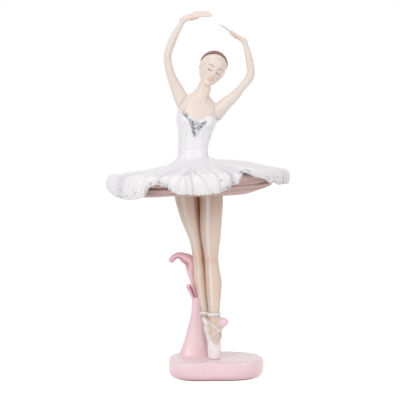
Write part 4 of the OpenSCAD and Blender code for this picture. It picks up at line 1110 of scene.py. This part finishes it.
pts, quads = shell(q, r_o, z_o, r_i[::-1], z_i[::-1])
# Painted shade in the folds, under the upper scallops and over the back face, and a darker painted shade in
# the hole dents.
hollow = concatenate([clip(-move * 0.6, 0, 1) + 0.18 * bell(share[:, None] - 0.2, 0.05),
    np.full((back_n, len(q)), 0.45)])
piece("hem_lace", pts, quads, lace, {
    "hollow": hollow.ravel(), "pit": concatenate([pit, np.zeros((back_n, len(q)))]).ravel()}, sharp=75)


def puffed(node, seat_top, seat_low, falls, puff, tiers, seed, swell, thick=1.0):
    """An underskirt: pleated from below, with a puffed and tiered edge that swells on its left."""
    q = linspace(-180, 180, 900, endpoint=False)
    a = radians(q)
    reach_r = (high[node][0] - low[node][0]) / 2 - 0.3
    r_in = seat_edge(q)
    wavy = 0.8 * sin(5 * a + seed) + 0.6 * sin(9 * a + 2 * seed) + 0.3 * sin(15 * a)
    pleat = sin(66 * a + 1.2 * sin(7 * a + seed) + 0.7 * sin(12 * a))
    rise = 5.4 * bell(gap_deg(q, 84), 32)
    t = linspace(0, 1, 26)[:, None]
    under = (seat_top - thick - falls * t + (seat_low - seat_top + thick) * (1 - t) ** 8 + 1.5 * t * sin(a)
             + rise * t**3 + 0.35 * wavy * t**2 + 0.3 * pleat * ease(0.1, 0.5, t) * ease(1.05, 0.8, t))
    over = (seat_top - falls * t + 1.5 * t * sin(a) + 0.5 * rise * t**3 + 0.3 * wavy * t**2
        + puff * ease(0.3, 1, t))
    over = over + swell * bell(gap_deg(q, 36), 20) * ease(0.6, 1, t)
    roll_r = 1.4 + 0.3 * puff
    r = r_in + (reach_r - roll_r - r_in) * t
    phi = linspace(90, -90, 32)[1:-1, None]
    ridge = sin(radians(phi * tiers) + 0.8 * wavy)
    bulge = (roll_r + 0.34 * ridge + 0.07 * pleat) * cos(radians(phi))
    roll_z = (over[-1] + under[-1]) / 2 + (over[-1] - under[-1]) / 2 * sin(radians(phi)) + 0 * bulge
    all_r = concatenate([r, reach_r - roll_r + bulge, r[::-1]])
    all_z = concatenate([over, roll_z, under[::-1]])
    pts = to_space(q[None], all_r, all_z)
    quads = lattice(len(all_r), len(q), close=True)[:, ::-1]
    # Painted shade on the top under the skirt above, in the tier and pleat valleys, at the top and bottom of
    # the roll and over the underside, and a painted highlight on the tier ridges of the roll's lower half.
    shade_top = 0.6 + 0 * over
    shade_roll = (clip(-0.4 * ridge, 0, 1) + clip(-0.1 * pleat, 0, 1) + 0.45 * ease(10, 80, phi)
        + 0.45 * ease(-15, -75, phi) + 0 * wavy)
    shade_under = (clip(-0.35 * pleat, 0, 1) + 0.55 + 0.5 * (1 - t) ** 2)[::-1]
    highlight_roll = clip(0.5 * ridge, 0, 1) * ease(60, 0, phi) + 0 * wavy
    piece(node, pts.reshape(-1, 3), quads, underskirt, {
        "hollow": concatenate([shade_top, shade_roll, shade_under]).ravel(),
        "painted_highlight": concatenate([0 * over, highlight_roll, 0 * under]).ravel()}, sharp=80)


puffed("middle_skirt", crown_z - 4.4, crown_z - 7.6, 14.0, 4.2, 3.0, 1.0, 4.0)
puffed("petticoat", crown_z - 8.6, crown_z - 12.0, 17.5, 6.6, 5.0, 2.6, 2.5)

# Briefs under the skirts, with gathered ruffles
lo, hi = low["pelvis"], high["pelvis"]
clay = Clay(lo - 2, hi + 2, 0.36)
clay.nodes(["pelvis", "left_hip_pin", "right_hip_pin", "waist_rod"])
Zs = clay.axes()[2]
clay.cut(whole, leg_top_z + 0.1 - Zs)
clay.cut(whole, Zs - waist_z + 0.1)
clay.blur(2)
p, q = clay.mesh()
n = normals(p, q)
turn = arctan2(p[:, 1], p[:, 0] - body_x)
ruffle = (0.22 * sin(turn * 40 + 2 * sin(p[:, 2])) * ease(leg_top_z + 0.2, leg_top_z + 2, p[:, 2])
          * ease(hip_z, hip_z - 2, p[:, 2]))
# Painted shade in the ruffle folds and on the underside.
piece("pelvis", p + n * ruffle[:, None], q, white,
    {"hollow": clip(-ruffle * 4, 0, 1) + 0.3 * (n[:, 2] < -0.5)})

# ---------------------------------------------------------------- head

head_lean, head_turn, head_nod = 25.0, 14.0, 7.0
spin = np.array(Matrix.Rotation(math.radians(head_lean), 3, "Y")
    @ Matrix.Rotation(math.radians(head_turn), 3, "Z") @ Matrix.Rotation(math.radians(head_nod), 3, "X"))
head_at = vec(high["head"][0] - 13.9, 0.0, high["head"][2] - 14.2)


def from_head(p):
    return np.asarray(p) @ spin.T + head_at


skull = Clay([-16, -18, -19], [16, 18, 19], HEAD_STEP)
skull.blob([0, 1.2, 3.2], [10.6, 12.3, 10.9], 0.5)
skull.blob([0, -1.8, -3.5], [8.9, 9.6, 9.6], 4.0)
skull.blob([0, -4.2, -7.6], [5.6, 6.4, 6.2], 3.0)
bare = skull.copy()
# brow, cheeks, jaw and chin
skull.blob([0, -7.6, 4.6], [6.2, 4.0, 4.6], 2.5)
for s in (-1, 1):
    skull.blob([s * 4.9, -7.3, -3.4], [2.9, 2.9, 2.6], 2.2)
    skull.cone([s * 6.8, -0.5, -6.6], [s * 2.2, -8.0, -11.4], 1.6, 1.7, 2.2)
    skull.blob([s * 3.7, -12.1, 0.3], [2.3, 2.1, 1.7], 1.3, dig=True)
    skull.blob([s * 3.65, -8.55, -0.1], [2.25, 2.35, 1.75], 0.5)
skull.blob([0, -9.4, -11.8], [2.3, 2.0, 1.9], 1.6)
# nose
skull.tube(np.array([[0, -10.6, 1.6], [0, -11.5, -1.2], [0, -12.9, -3.9]]), [0.85, 0.85, 1.0], 0.9)
skull.blob([0, -12.7, -4.2], [1.05, 1.05, 0.9], 0.5)
for s in (-1, 1):
    skull.blob([s * 1.15, -11.7, -4.55], [0.75, 1.0, 0.65], 0.5)
    skull.blob([s * 0.62, -12.1, -5.15], [0.32, 0.5, 0.3], 0.2, dig=True)
# mouth
skull.blob([0, -10.6, -7.6], [2.7, 1.4, 1.7], 1.2)
for s in (-1, 1):
    skull.tube(np.array([[0, -11.75, -7.15], [s * 0.75, -11.85, -6.95], [s * 2.2, -10.75, -7.5]]),
        [0.4, 0.5, 0.25], 0.35)
skull.tube(np.array([[-1.5, -11.25, -8.35], [0, -11.75, -8.5], [1.5, -11.25, -8.35]]), [0.45, 0.68, 0.45],
    0.35)
skull.tube(np.array([[-2.3, -11.3, -7.62], [-1, -12.4, -7.72], [0, -12.6, -7.86], [1, -12.4, -7.72],
    [2.3, -11.3, -7.62]]), [0.14, 0.17, 0.18, 0.17, 0.14], 0.15, dig=True)
# closed lids: a line under each lid and a fold above it
lid_lines = []


def on_face(x, z, lift=0.0):
    """Points on the front of the skull."""
    arc = stack([x, 0 * x, z], -1)
    arc[:, 1] = -skull.reach(arc, [[0, -1, 0]] * len(x), 16) - lift
    return arc


for s in (-1, 1):
    ang = radians(linspace(205, 335, 14))
    lid_lines.append(on_face(s * 3.65 + 2.15 * cos(ang), -0.15 + 1.35 * sin(ang)))
    skull.tube(lid_lines[-1], np.full(14, 0.17), 0.12, dig=True)
    ang = radians(linspace(30, 150, 12))
    arc = on_face(s * 3.65 + 2.3 * cos(ang), 0.05 + 1.5 * sin(ang), 0.05)
    skull.tube(arc, np.full(12, 0.14), 0.15, dig=True)
# ears
for s in (-1, 1):
    ang = radians(linspace(-60, 250, 18))
    rim = stack([s * (10.2 + 0.5 * cos(ang - 1.2)), 1.3 - 1.7 * cos(ang), -1.2 + 2.7 * sin(ang)], -1)
    skull.tube(rim, np.full(18, 0.52), 0.35)
    skull.blob([s * 10.0, 1.0, -1.4], [0.7, 1.5, 2.3], 0.3)
    skull.blob([s * 10.0, 0.5, -4.0], [0.65, 0.75, 0.9], 0.5)
    skull.blob([s * 11.0, 0.9, -1.2], [0.55, 0.8, 1.3], 0.25, dig=True)
skull.blur(1)
p, q = skull.mesh()
# Painted shade in the creases of the face; the brows, lash lines, lips and blush are tints of the paint.
hollow = skull.hollows(p, 6, 0.5)
lips = np.zeros(len(p))
for pts_l, r in (([[-2.1, -10.9, -7.45], [-0.75, -11.9, -7.0], [0, -11.8, -7.2], [0.75, -11.9, -7.0],
        [2.1, -10.9, -7.45]], 0.55), ([[-1.6, -11.3, -8.3], [0, -11.8, -8.5], [1.6, -11.3, -8.3]], 0.7)):
    lips = maximum(lips, ease(r + 0.25, r - 0.05, off_line(p, curve(pts_l, 30))))
brown_paint_and_shade = np.zeros(len(p))
for arc in lid_lines:
    brown_paint_and_shade = maximum(brown_paint_and_shade, 0.95 * ease(0.42, 0.16, off_line(p, curve(arc, 40))))
for s in (-1, 1):
    ang = linspace(0, 1, 16)
    brow = on_face(s * (1.9 + 4.4 * ang), 2.35 + 1.05 * sin(ang * 2.2) - 0.5 * ang)
    brown_paint_and_shade = maximum(brown_paint_and_shade, 0.62 * ease(0.5, 0.2, off_line(p, curve(brow, 40))))
rose = 0.42 * near_points(p, [vec(-5.2, -9.2, -3.6), vec(5.2, -9.2, -3.6)], 2.6) + 0.75 * lips
warm_tint_and_shade = (0.5 * near_points(p, [vec(-3.7, -10.6, 0.6), vec(3.7, -10.6, 0.6)], 1.8)
    + 0.3 * near_points(p, [vec(0, -13, -4.4)], 1.6))
piece("head", from_head(p), q, skin, {"hollow": 0.8 * hollow, "rose": rose, "warm_tint_and_shade": warm_tint_and_shade, "brown_paint_and_shade": brown_paint_and_shade})

# Hair drawn back from a rounded hairline to the bun
hair = bare.copy()
hair.f -= 0.75
Xh, Yh, Zh = hair.axes()
hairline = (-(Yh * math.cos(math.radians(38)) + (Zh - 5.2) * math.sin(math.radians(38))) + 0.9
    - 0.5 * ease(-1, -7, Xh))
hairline = hairline + 0.25 * np.abs(Xh) * ease(3, -6, Zh)
hair.cut(whole, hairline, 0.6)
hair.cut(whole, -Zh - 9.0 + 0.35 * Yh, 1.0)
for s in (-1, 1):
    hair.blob([s * 11.0, 0.6, -1.6], [1.9, 2.3, 3.4], 0.6, dig=True)
bun_mid = vec(0, 13.6, 4.6)
hair.blob(bun_mid - vec(0, 1.6, 0), [4.4, 3.0, 4.4], 1.6)
hair.blur(1)
p, q = hair.mesh()
n = normals(p, q)
to_bun = bun_mid - p
back_way = unit(bun_mid - vec(0, 0, 3))
flat = to_bun - (to_bun @ back_way)[:, None] * back_way
turn = arctan2(flat[:, 2], flat[:, 0])
far_off = norm(flat, axis=1)
strand = sin(turn * 46 + 1.6 * sin(turn * 5) + 0.15 * far_off) + 0.6 * sin(turn * 83 + 2.0)
p2 = p + n * (0.12 * strand * ease(1.0, 4.0, far_off))[:, None]
# Painted shade in the grooves between strands and a painted highlight on their ridges.
piece("hair", from_head(p2), q, brown_hair, {"hollow": clip(-strand * 0.45, 0, 1)
    + 0.5 * hair.hollows(p, 5, 0.5), "painted_highlight": clip(strand * 0.45, 0, 1)}, sharp=70)

# The bun: a coiled twist
coil = Clay([-8, 8, -4], [8, 20, 13], HEAD_STEP)
turns = linspace(0, 2.75 * 2 * pi, 130)
ramp = turns / turns[-1]
coil_r = 4.3 * (1 - ramp) ** 0.8
coil_p = stack([coil_r * cos(turns), bun_mid[1] + 0.4 + 2.6 * ramp, bun_mid[2] + coil_r * sin(turns)], -1)
coil.tube(coil_p, 1.75 - 0.35 * ramp, 0.35)
coil.blob(bun_mid + vec(0, 0.4, 0), [4.6, 2.6, 4.6], 0.5)
p, q = coil.mesh()
n = normals(p, q)
off = p - bun_mid
turn = arctan2(off[:, 2], off[:, 0])
radius = np.hypot(off[:, 0], off[:, 2])
strand = sin(radius * 7.5 + turn * 3.0 + off[:, 1] * 4)
# Painted shade in the grooves of the twist and a painted highlight on its ridges.
piece("hair_bun", from_head(p + n * (0.09 * strand)[:, None]), q, brown_hair,
    {"hollow": clip(-strand * 0.4, 0, 1) + coil.hollows(p, 5, 0.5), "painted_highlight": clip(strand * 0.4, 0, 1)},
    sharp=70)

# ---------------------------------------------------------------- base and support


def base_round(q):
    """The base's outline in a box from -1 to 1, before it is scaled."""
    a = radians(q)
    c, s = cos(a), sin(a)
    radius = (np.abs(c) ** 2.5 + np.abs(s) ** 2.5) ** (-1 / 2.5)
    lobe = (1 + 0.07 * bell(q - 238, 24) - 0.04 * bell(q - 262, 14)
            + 0.03 * bell(q - 118, 26))
    return stack([c * radius * lobe, s * radius * lobe], -1)


# The base's side: its foot is rounded over foot_run and foot_rise, and its top edge by edge_r
foot_run, foot_rise, edge_r = 4.2, 5.0, 3.2
base_middle = 33.0  # inset of the ring that shrinks to the middle
q = linspace(0, 360, 480, endpoint=False)
ring = base_round(q)
base_lo, base_hi = low["base"], high["base"]
ring = ring * ((base_hi - base_lo)[:2] / (ring.max(0) - ring.min(0)))
ring += (base_lo + base_hi)[:2] / 2 - (ring.max(0) + ring.min(0)) / 2
ring_len = norm(ring, axis=1)
low_z, top_z = base_lo[2], base_hi[2]


def base_swell(q, z):
    a = radians(q)
    return ((0.35 * sin(3 * a + 0.8 + 0.08 * z) + 0.28 * sin(5 * a + 2.1 - 0.12 * z)
        + 0.16 * sin(9 * a + 0.2 * z)) + 0.15)


rows = [(foot_run + (1 - t) * 28.8, low_z) for t in linspace(0.02, 1, 16)]
for t in radians(linspace(0, 90, 14)[1:]):
    rows.append((foot_run * (1 - math.sin(t)), low_z + foot_rise * (1 - math.cos(t))))
for t in linspace(0, 1, 12)[1:-1]:
    rows.append((-0.25 * math.sin(math.pi * t), low_z + foot_rise + (top_z - edge_r - low_z - foot_rise) * t))
for t in radians(linspace(0, 90, 14)):
    rows.append((edge_r * (1 - math.cos(t)), top_z - edge_r * (1 - math.sin(t))))
for t in linspace(0, 1, 40)[1:]:
    rows.append((edge_r + 27 * t, top_z))
inset = np.array([r[0] for r in rows])[:, None]
level = np.array([r[1] for r in rows])[:, None] + 0 * q[None]
on_top = level >= top_z - 1e-6
grow = base_swell(q[None], level) * ease(0, 3, level - low_z)
rim_scale = 1 - (minimum(inset, 5.0) - grow * ease(20, 2, inset)) / ring_len[None]
scale = rim_scale * (1 - 0.97 * maximum(inset - 5.0, 0) / (base_middle - 5.0))
bx, by = ring[None, :, 0] * scale, ring[None, :, 1] * scale
a = radians(q)[None]
dip = (0.55 + 0.35 * sin(2 * a + 0.6) + 0.25 * sin(5 * a + 1.0)) * bell(inset - 2.5, 3.0)
dip = dip + 0.12 + 0.1 * sin(bx * 0.22 + 1) * sin(by * 0.3)
feet_xy = [vec(-1.2, -12), vec(-5.2, -2.4)]
keep_flat = clip(sum(exp(-(((bx - f[0]) ** 2 + (by - f[1]) ** 2) / 64)) for f in feet_xy), 0, 1)
bz = np.where(on_top, level - dip * (1 - keep_flat), level - dip * ease(top_z - 4, top_z, level) * 0.7)
pts, fcs = capped(stack([bx, by, bz], -1))
xy = pts[:, :2]
stem_spot = vec(*((low["support_stem"] + high["support_stem"])[:2] / 2))
near_stem = exp(-np.sum((xy - stem_spot) ** 2, 1) / 15.5**2)
near_shoe = exp(-np.sum((xy - vec(-5.5, -1)) ** 2, 1) / 7**2)
edge_highlight = ease(top_z - 3.6, top_z - 1.4, pts[:, 2]) * ease(top_z + 0.1, top_z - 0.9, pts[:, 2])
flat_top = ease(top_z - 0.9, top_z - 0.2, pts[:, 2])
# Painted shade along the foot of the base and round the shoe, and a rose painted shade round the stem; deeper
# rose towards the bottom of the side; a lighter top face as painted light, and a painted highlight along its
# front edge.
piece("base", pts, fcs, pink, {
    "hollow": 0.45 * ease(low_z + 1.6, low_z, pts[:, 2]) + 0.35 * flat_top * near_shoe,
    "rose": 0.55 * ease(low_z + 8, low_z, pts[:, 2]) + 0.25 * flat_top * near_stem,
    "painted_highlight": 0.55 * flat_top + 0.6 * edge_highlight}, sharp=70)

pad_lo, pad_hi = low["base_pad"], high["base_pad"]
pad_ring = ring * (1 - 5.6 / ring_len[:, None])
rows = [(3.0, pad_lo[2]), (0.35, pad_lo[2]), (0.05, pad_lo[2] + 0.12), (0.0, pad_lo[2] + 0.4),
    (0.05, pad_hi[2] - 0.08), (0.3, pad_hi[2]), (3.0, pad_hi[2])]
fuzz = 0.06 * rng.standard_normal(len(q))
pts = stack([concatenate([pad_ring * (1 - (i + fuzz[:, None] * 0.5) / ring_len[:, None]),
    np.full((len(q), 1), z)], 1) for i, z in rows])
pts, fcs = capped(pts)
piece("base_pad", pts, fcs, felt, slot="pad", sharp=0)


def sweep(rows, n_along, n_around, shape):
    """Rings square to a curve of rows (x, y, z, width, depth), their depth kept towards +Y."""
    s = curve(rows, n_along)
    along = np.gradient(s[:, :3], axis=0)
    along[0] = [0, 0, 1]
    along = units(along)
    side = units(cross([0, 1, 0], along))
    front = cross(along, side)
    a = linspace(0, 2 * pi, n_around, endpoint=False)[None]
    t = linspace(0, 1, n_along)[:, None]
    u, v = shape(a, t, cos(a) + 0 * t, sin(a) + 0 * t)
    rings = (s[:, None, :3] + side[:, None] * (s[:, 3:4] / 2 * u)[..., None]
             + front[:, None] * (s[:, 4:5] / 2 * v)[..., None])
    return rings, a, t


split_z = low["tall_plume"][2] - 0.1
stem_h = split_z - floor_z
stem = [[-17.8, 6, 0, 28, 26], [-17.8, 6, 0.012, 26.6, 23.8], [-17.8, 6, 0.06, 24.2, 21],
    [-17.5, 5.6, 0.25, 18.8, 16], [-16.9, 5, 0.5, 13.2, 12.2], [-15.7, 4.6, 0.75, 9.6, 11],
    [-16.1, 4.6, 1, 7.4, 11.4], [-17.2, 4.9, 1.06, 5, 10.8]]
stem_sink = 0.35  # how far the flare goes into the base
s = curve(stem, 150)
a = linspace(0, 2 * pi, 160, endpoint=False)[None]
z = floor_z - stem_sink + s[:, 2:3] * (stem_h + stem_sink)
up = s[:, 2:3]
# A soft ridge runs up between the front and the right side, with a long hollow beside it, and a swell
# fills the space behind the back foot.
gap = gap_rad(a, math.radians(-38))
gap_l = gap_rad(a, math.radians(200))
shape = 1 + 0.09 * bell(gap, 0.3) - 0.06 * bell(gap - 0.75, 0.35) * ease(0.02, 0.3, up)
shape = shape + 0.36 * bell(gap_rad(a, 0.4), 0.42) * ease(0.02, 0.2, up) * ease(0.95, 0.55, up)
shape = shape - 0.05 * bell(gap_l, 0.4) * ease(0.1, 0.4, up) + 0.02 * sin(5 * a + 6 * up)
rings = stack([s[:, 0:1] + s[:, 3:4] / 2 * cos(a) * shape, s[:, 1:2] + s[:, 4:5] / 2 * sin(a) * shape,
    z + 0 * a], -1)
pts, fcs = capped(rings)
# Painted shade: a rose shade on the right side and a deep shade behind the back foot. The stem is also a
# deeper rose higher up and on its back left, and has a painted highlight streak on its front.
right_side_shade = ease(0.1, 0.75, cos(a - math.radians(-5))) * (gap > 0.05)
rose = 0.55 * right_side_shade + 0.35 * ease(0.35, 1.0, up) + 0.2 * bell(gap_l, 0.5)
deep = 0.95 * bell(gap_rad(a, 0.3), 0.34) * ease(0.8, 0.45, up)
piece("support_stem", pts, fcs, pink, {
    "rose": with_caps(rose), "hollow": with_caps(deep),
    "painted_highlight": with_caps(0.8 * bell(gap + 0.35, 0.35) * ease(0.1, 0.3, up))}, sharp=70)

plumes = {"short_plume": [[-16.9, 1.9, -1.5, 5.4, 5.4], [-17.8, 1.7, 3, 5, 5.6], [-19.2, 1.2, 7, 5.8, 6.4],
    [-20.4, 1, 10, 6.2, 7], [-22.4, 0.6, 11.6, 4.6, 6], [-24, 0.2, 10.8, 1.8, 3]],
    "tall_plume": [[-16.9, 7.6, -1.5, 5, 4.8], [-17.2, 8.8, 6, 5, 5.6], [-18.6, 10.4, 16, 6, 7.6],
    [-20.2, 10, 24, 8, 10.6], [-21.2, 8.8, 31.6, 10.4, 13], [-25.6, 8, 34.9, 9.2, 14],
    [-30, 7.2, 37.2, 5.8, 13.6], [-34.2, 6.6, 35.8, 5.2, 11], [-36.6, 6.2, 33.0, 5.0, 9],
    [-37.4, 6.1, 31.4, 3.6, 6.5]]}
# Each plume's groove: [angle in the section, half width, depth, start, end, how much brown painted shade]
grooves = {"short_plume": [math.radians(292), 0.66, 0.55, -0.2, 0.84, 0.85],
    "tall_plume": [math.radians(222), 0.55, 0.42, 0.3, 0.93, 0.25]}
for name, rows in plumes.items():
    rows = [[x, y, split_z + dz, w, d] for x, y, dz, w, d in rows]
    groove_a, groove_w, groove_d, t_from, t_to, mask = grooves[name]

    def groove(a, t):
        """Share of the groove at angle a in the section and t along the plume."""
        return (bell(gap_rad(a, groove_a), groove_w) * ease(t_from, t_from + 0.15, t)
            * ease(t_to, t_to - 0.15, t))

    def cupped(a, t, u, v):
        lip = (bell(np.abs(gap_rad(a, groove_a)) - 1.9 * groove_w, 0.5 * groove_w)
            * ease(t_from, t_from + 0.2, t))
        k = 1 - groove_d * groove(a, t) + 0.04 * lip
        return u * k, v * k

    rings, a, t = sweep(rows, 130, 84, cupped)
    pts, fcs = capped(rings)
    dip = groove(a, t)
    # Painted shade and brown painted shade in the groove, painted shade at the tip, and a deeper rose towards
    # the tip.
    piece(name, pts, fcs, pink, {
        "rose": with_caps(0.35 + 0.3 * ease(0.35, 0.6, t) + 0 * a),
        "hollow": with_caps(0.9 * minimum(dip * 1.5, 1) + 0.5 * ease(0.95, 1.0, t)),
        "brown_paint_and_shade": with_caps(mask * clip(dip * 1.6 - 0.6, 0, 1))}, sharp=70)

# Steel pins stay as they are in the CAD model.
for node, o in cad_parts.items():
    if node.endswith(("_rod", "_pin")):
        o.data.materials.clear()
        o.data.materials.append(steel)

# ---------------------------------------------------------------- floor, light and camera

scene = bpy.context.scene
scene.view_settings.view_transform = "Standard"


WHITE = (1, 1, 1, 1)
WORLD_LIGHT, FLOOR_GLOW = 0.54, 0.6


def backdrop(tree):
    """1 for what the camera, mirrors and glass see, and 0 for what lights the object."""
    ray = add(tree, "LightPath").outputs
    also = add(tree, "Math", {0: ray["Is Glossy Ray"], 1: ray["Is Transmission Ray"]}, operation="MAXIMUM")
    return add(tree, "Math", {0: ray["Is Camera Ray"], 1: also.outputs[0]}, operation="MAXIMUM").outputs[0]


world = bpy.data.worlds.new("studio")
scene.world = world
world.use_nodes = True
tree = world.node_tree
lit = tree.nodes["Background"]
feed(tree, lit.inputs["Color"], WHITE)
feed(tree, lit.inputs["Strength"], WORLD_LIGHT)
seen = add(tree, "Background", {"Color": WHITE, "Strength": 1.0})
mix = add(tree, "MixShader", {0: backdrop(tree), 1: lit.outputs[0], 2: seen.outputs[0]})
feed(tree, tree.nodes["World Output"].inputs["Surface"], mix.outputs[0])

m = bpy.data.materials.new("floor_white")
m.use_nodes = True
tree = m.node_tree
tree.nodes.remove(tree.nodes["Principled BSDF"])
matt = add(tree, "BsdfDiffuse", {"Color": (0.86, 0.86, 0.86, 1)})
strength = add(tree, "Math", {0: backdrop(tree), 1: FLOOR_GLOW}, operation="MULTIPLY")
glow = add(tree, "Emission", {"Color": WHITE, "Strength": strength.outputs[0]})
both = add(tree, "AddShader", {0: matt.outputs[0], 1: glow.outputs[0]})
feed(tree, tree.nodes["Material Output"].inputs["Surface"], both.outputs[0])
bpy.ops.mesh.primitive_plane_add(size=16, location=(0, 0, 0))
floor = bpy.context.object
floor.name = "floor"
floor.data.materials.append(m)

middle = (cad_lo + cad_hi) / 2


def softbox(name, place, aim, size, power):
    data = bpy.data.lights.new(name, "AREA")
    data.shape = "RECTANGLE"
    data.size, data.size_y = size
    data.energy = power
    o = bpy.data.objects.new(name, data)
    o.location = middle + Vector(place)
    o.rotation_mode = "QUATERNION"
    o.rotation_quaternion = (middle + Vector(aim) - o.location).to_track_quat("-Z", "Y")
    scene.collection.objects.link(o)


softbox("key", (-0.75, -1.0, 0.75), (0, 0, 0), (0.7, 0.9), 6.5)
softbox("fill", (0.9, -0.8, 0.35), (0, 0, 0), (0.5, 1.0), 2.5)
softbox("strip", (-0.5, -0.9, 0.1), (0, 0, -0.05), (0.12, 1.0), 0.5)
softbox("top", (0.0, 0.1, 1.3), (0, 0, 0), (0.9, 0.9), 2.1)

cam = bpy.data.objects.new("camera", bpy.data.cameras.new("camera"))
scene.collection.objects.link(cam)
cam.data.lens, cam.data.sensor_width = 110.56, 36.0
cam.data.clip_start, cam.data.clip_end = 0.05, 20
cam_place, cam_dip = (1.9, -1012.67, 40.28), 2.4704  # mm from the middle of the CAD box, and degrees
cam.location = middle + Vector(cam_place) * MM
cam.rotation_euler = Euler((math.radians(90 - cam_dip), 0, 0))
scene.camera = cam
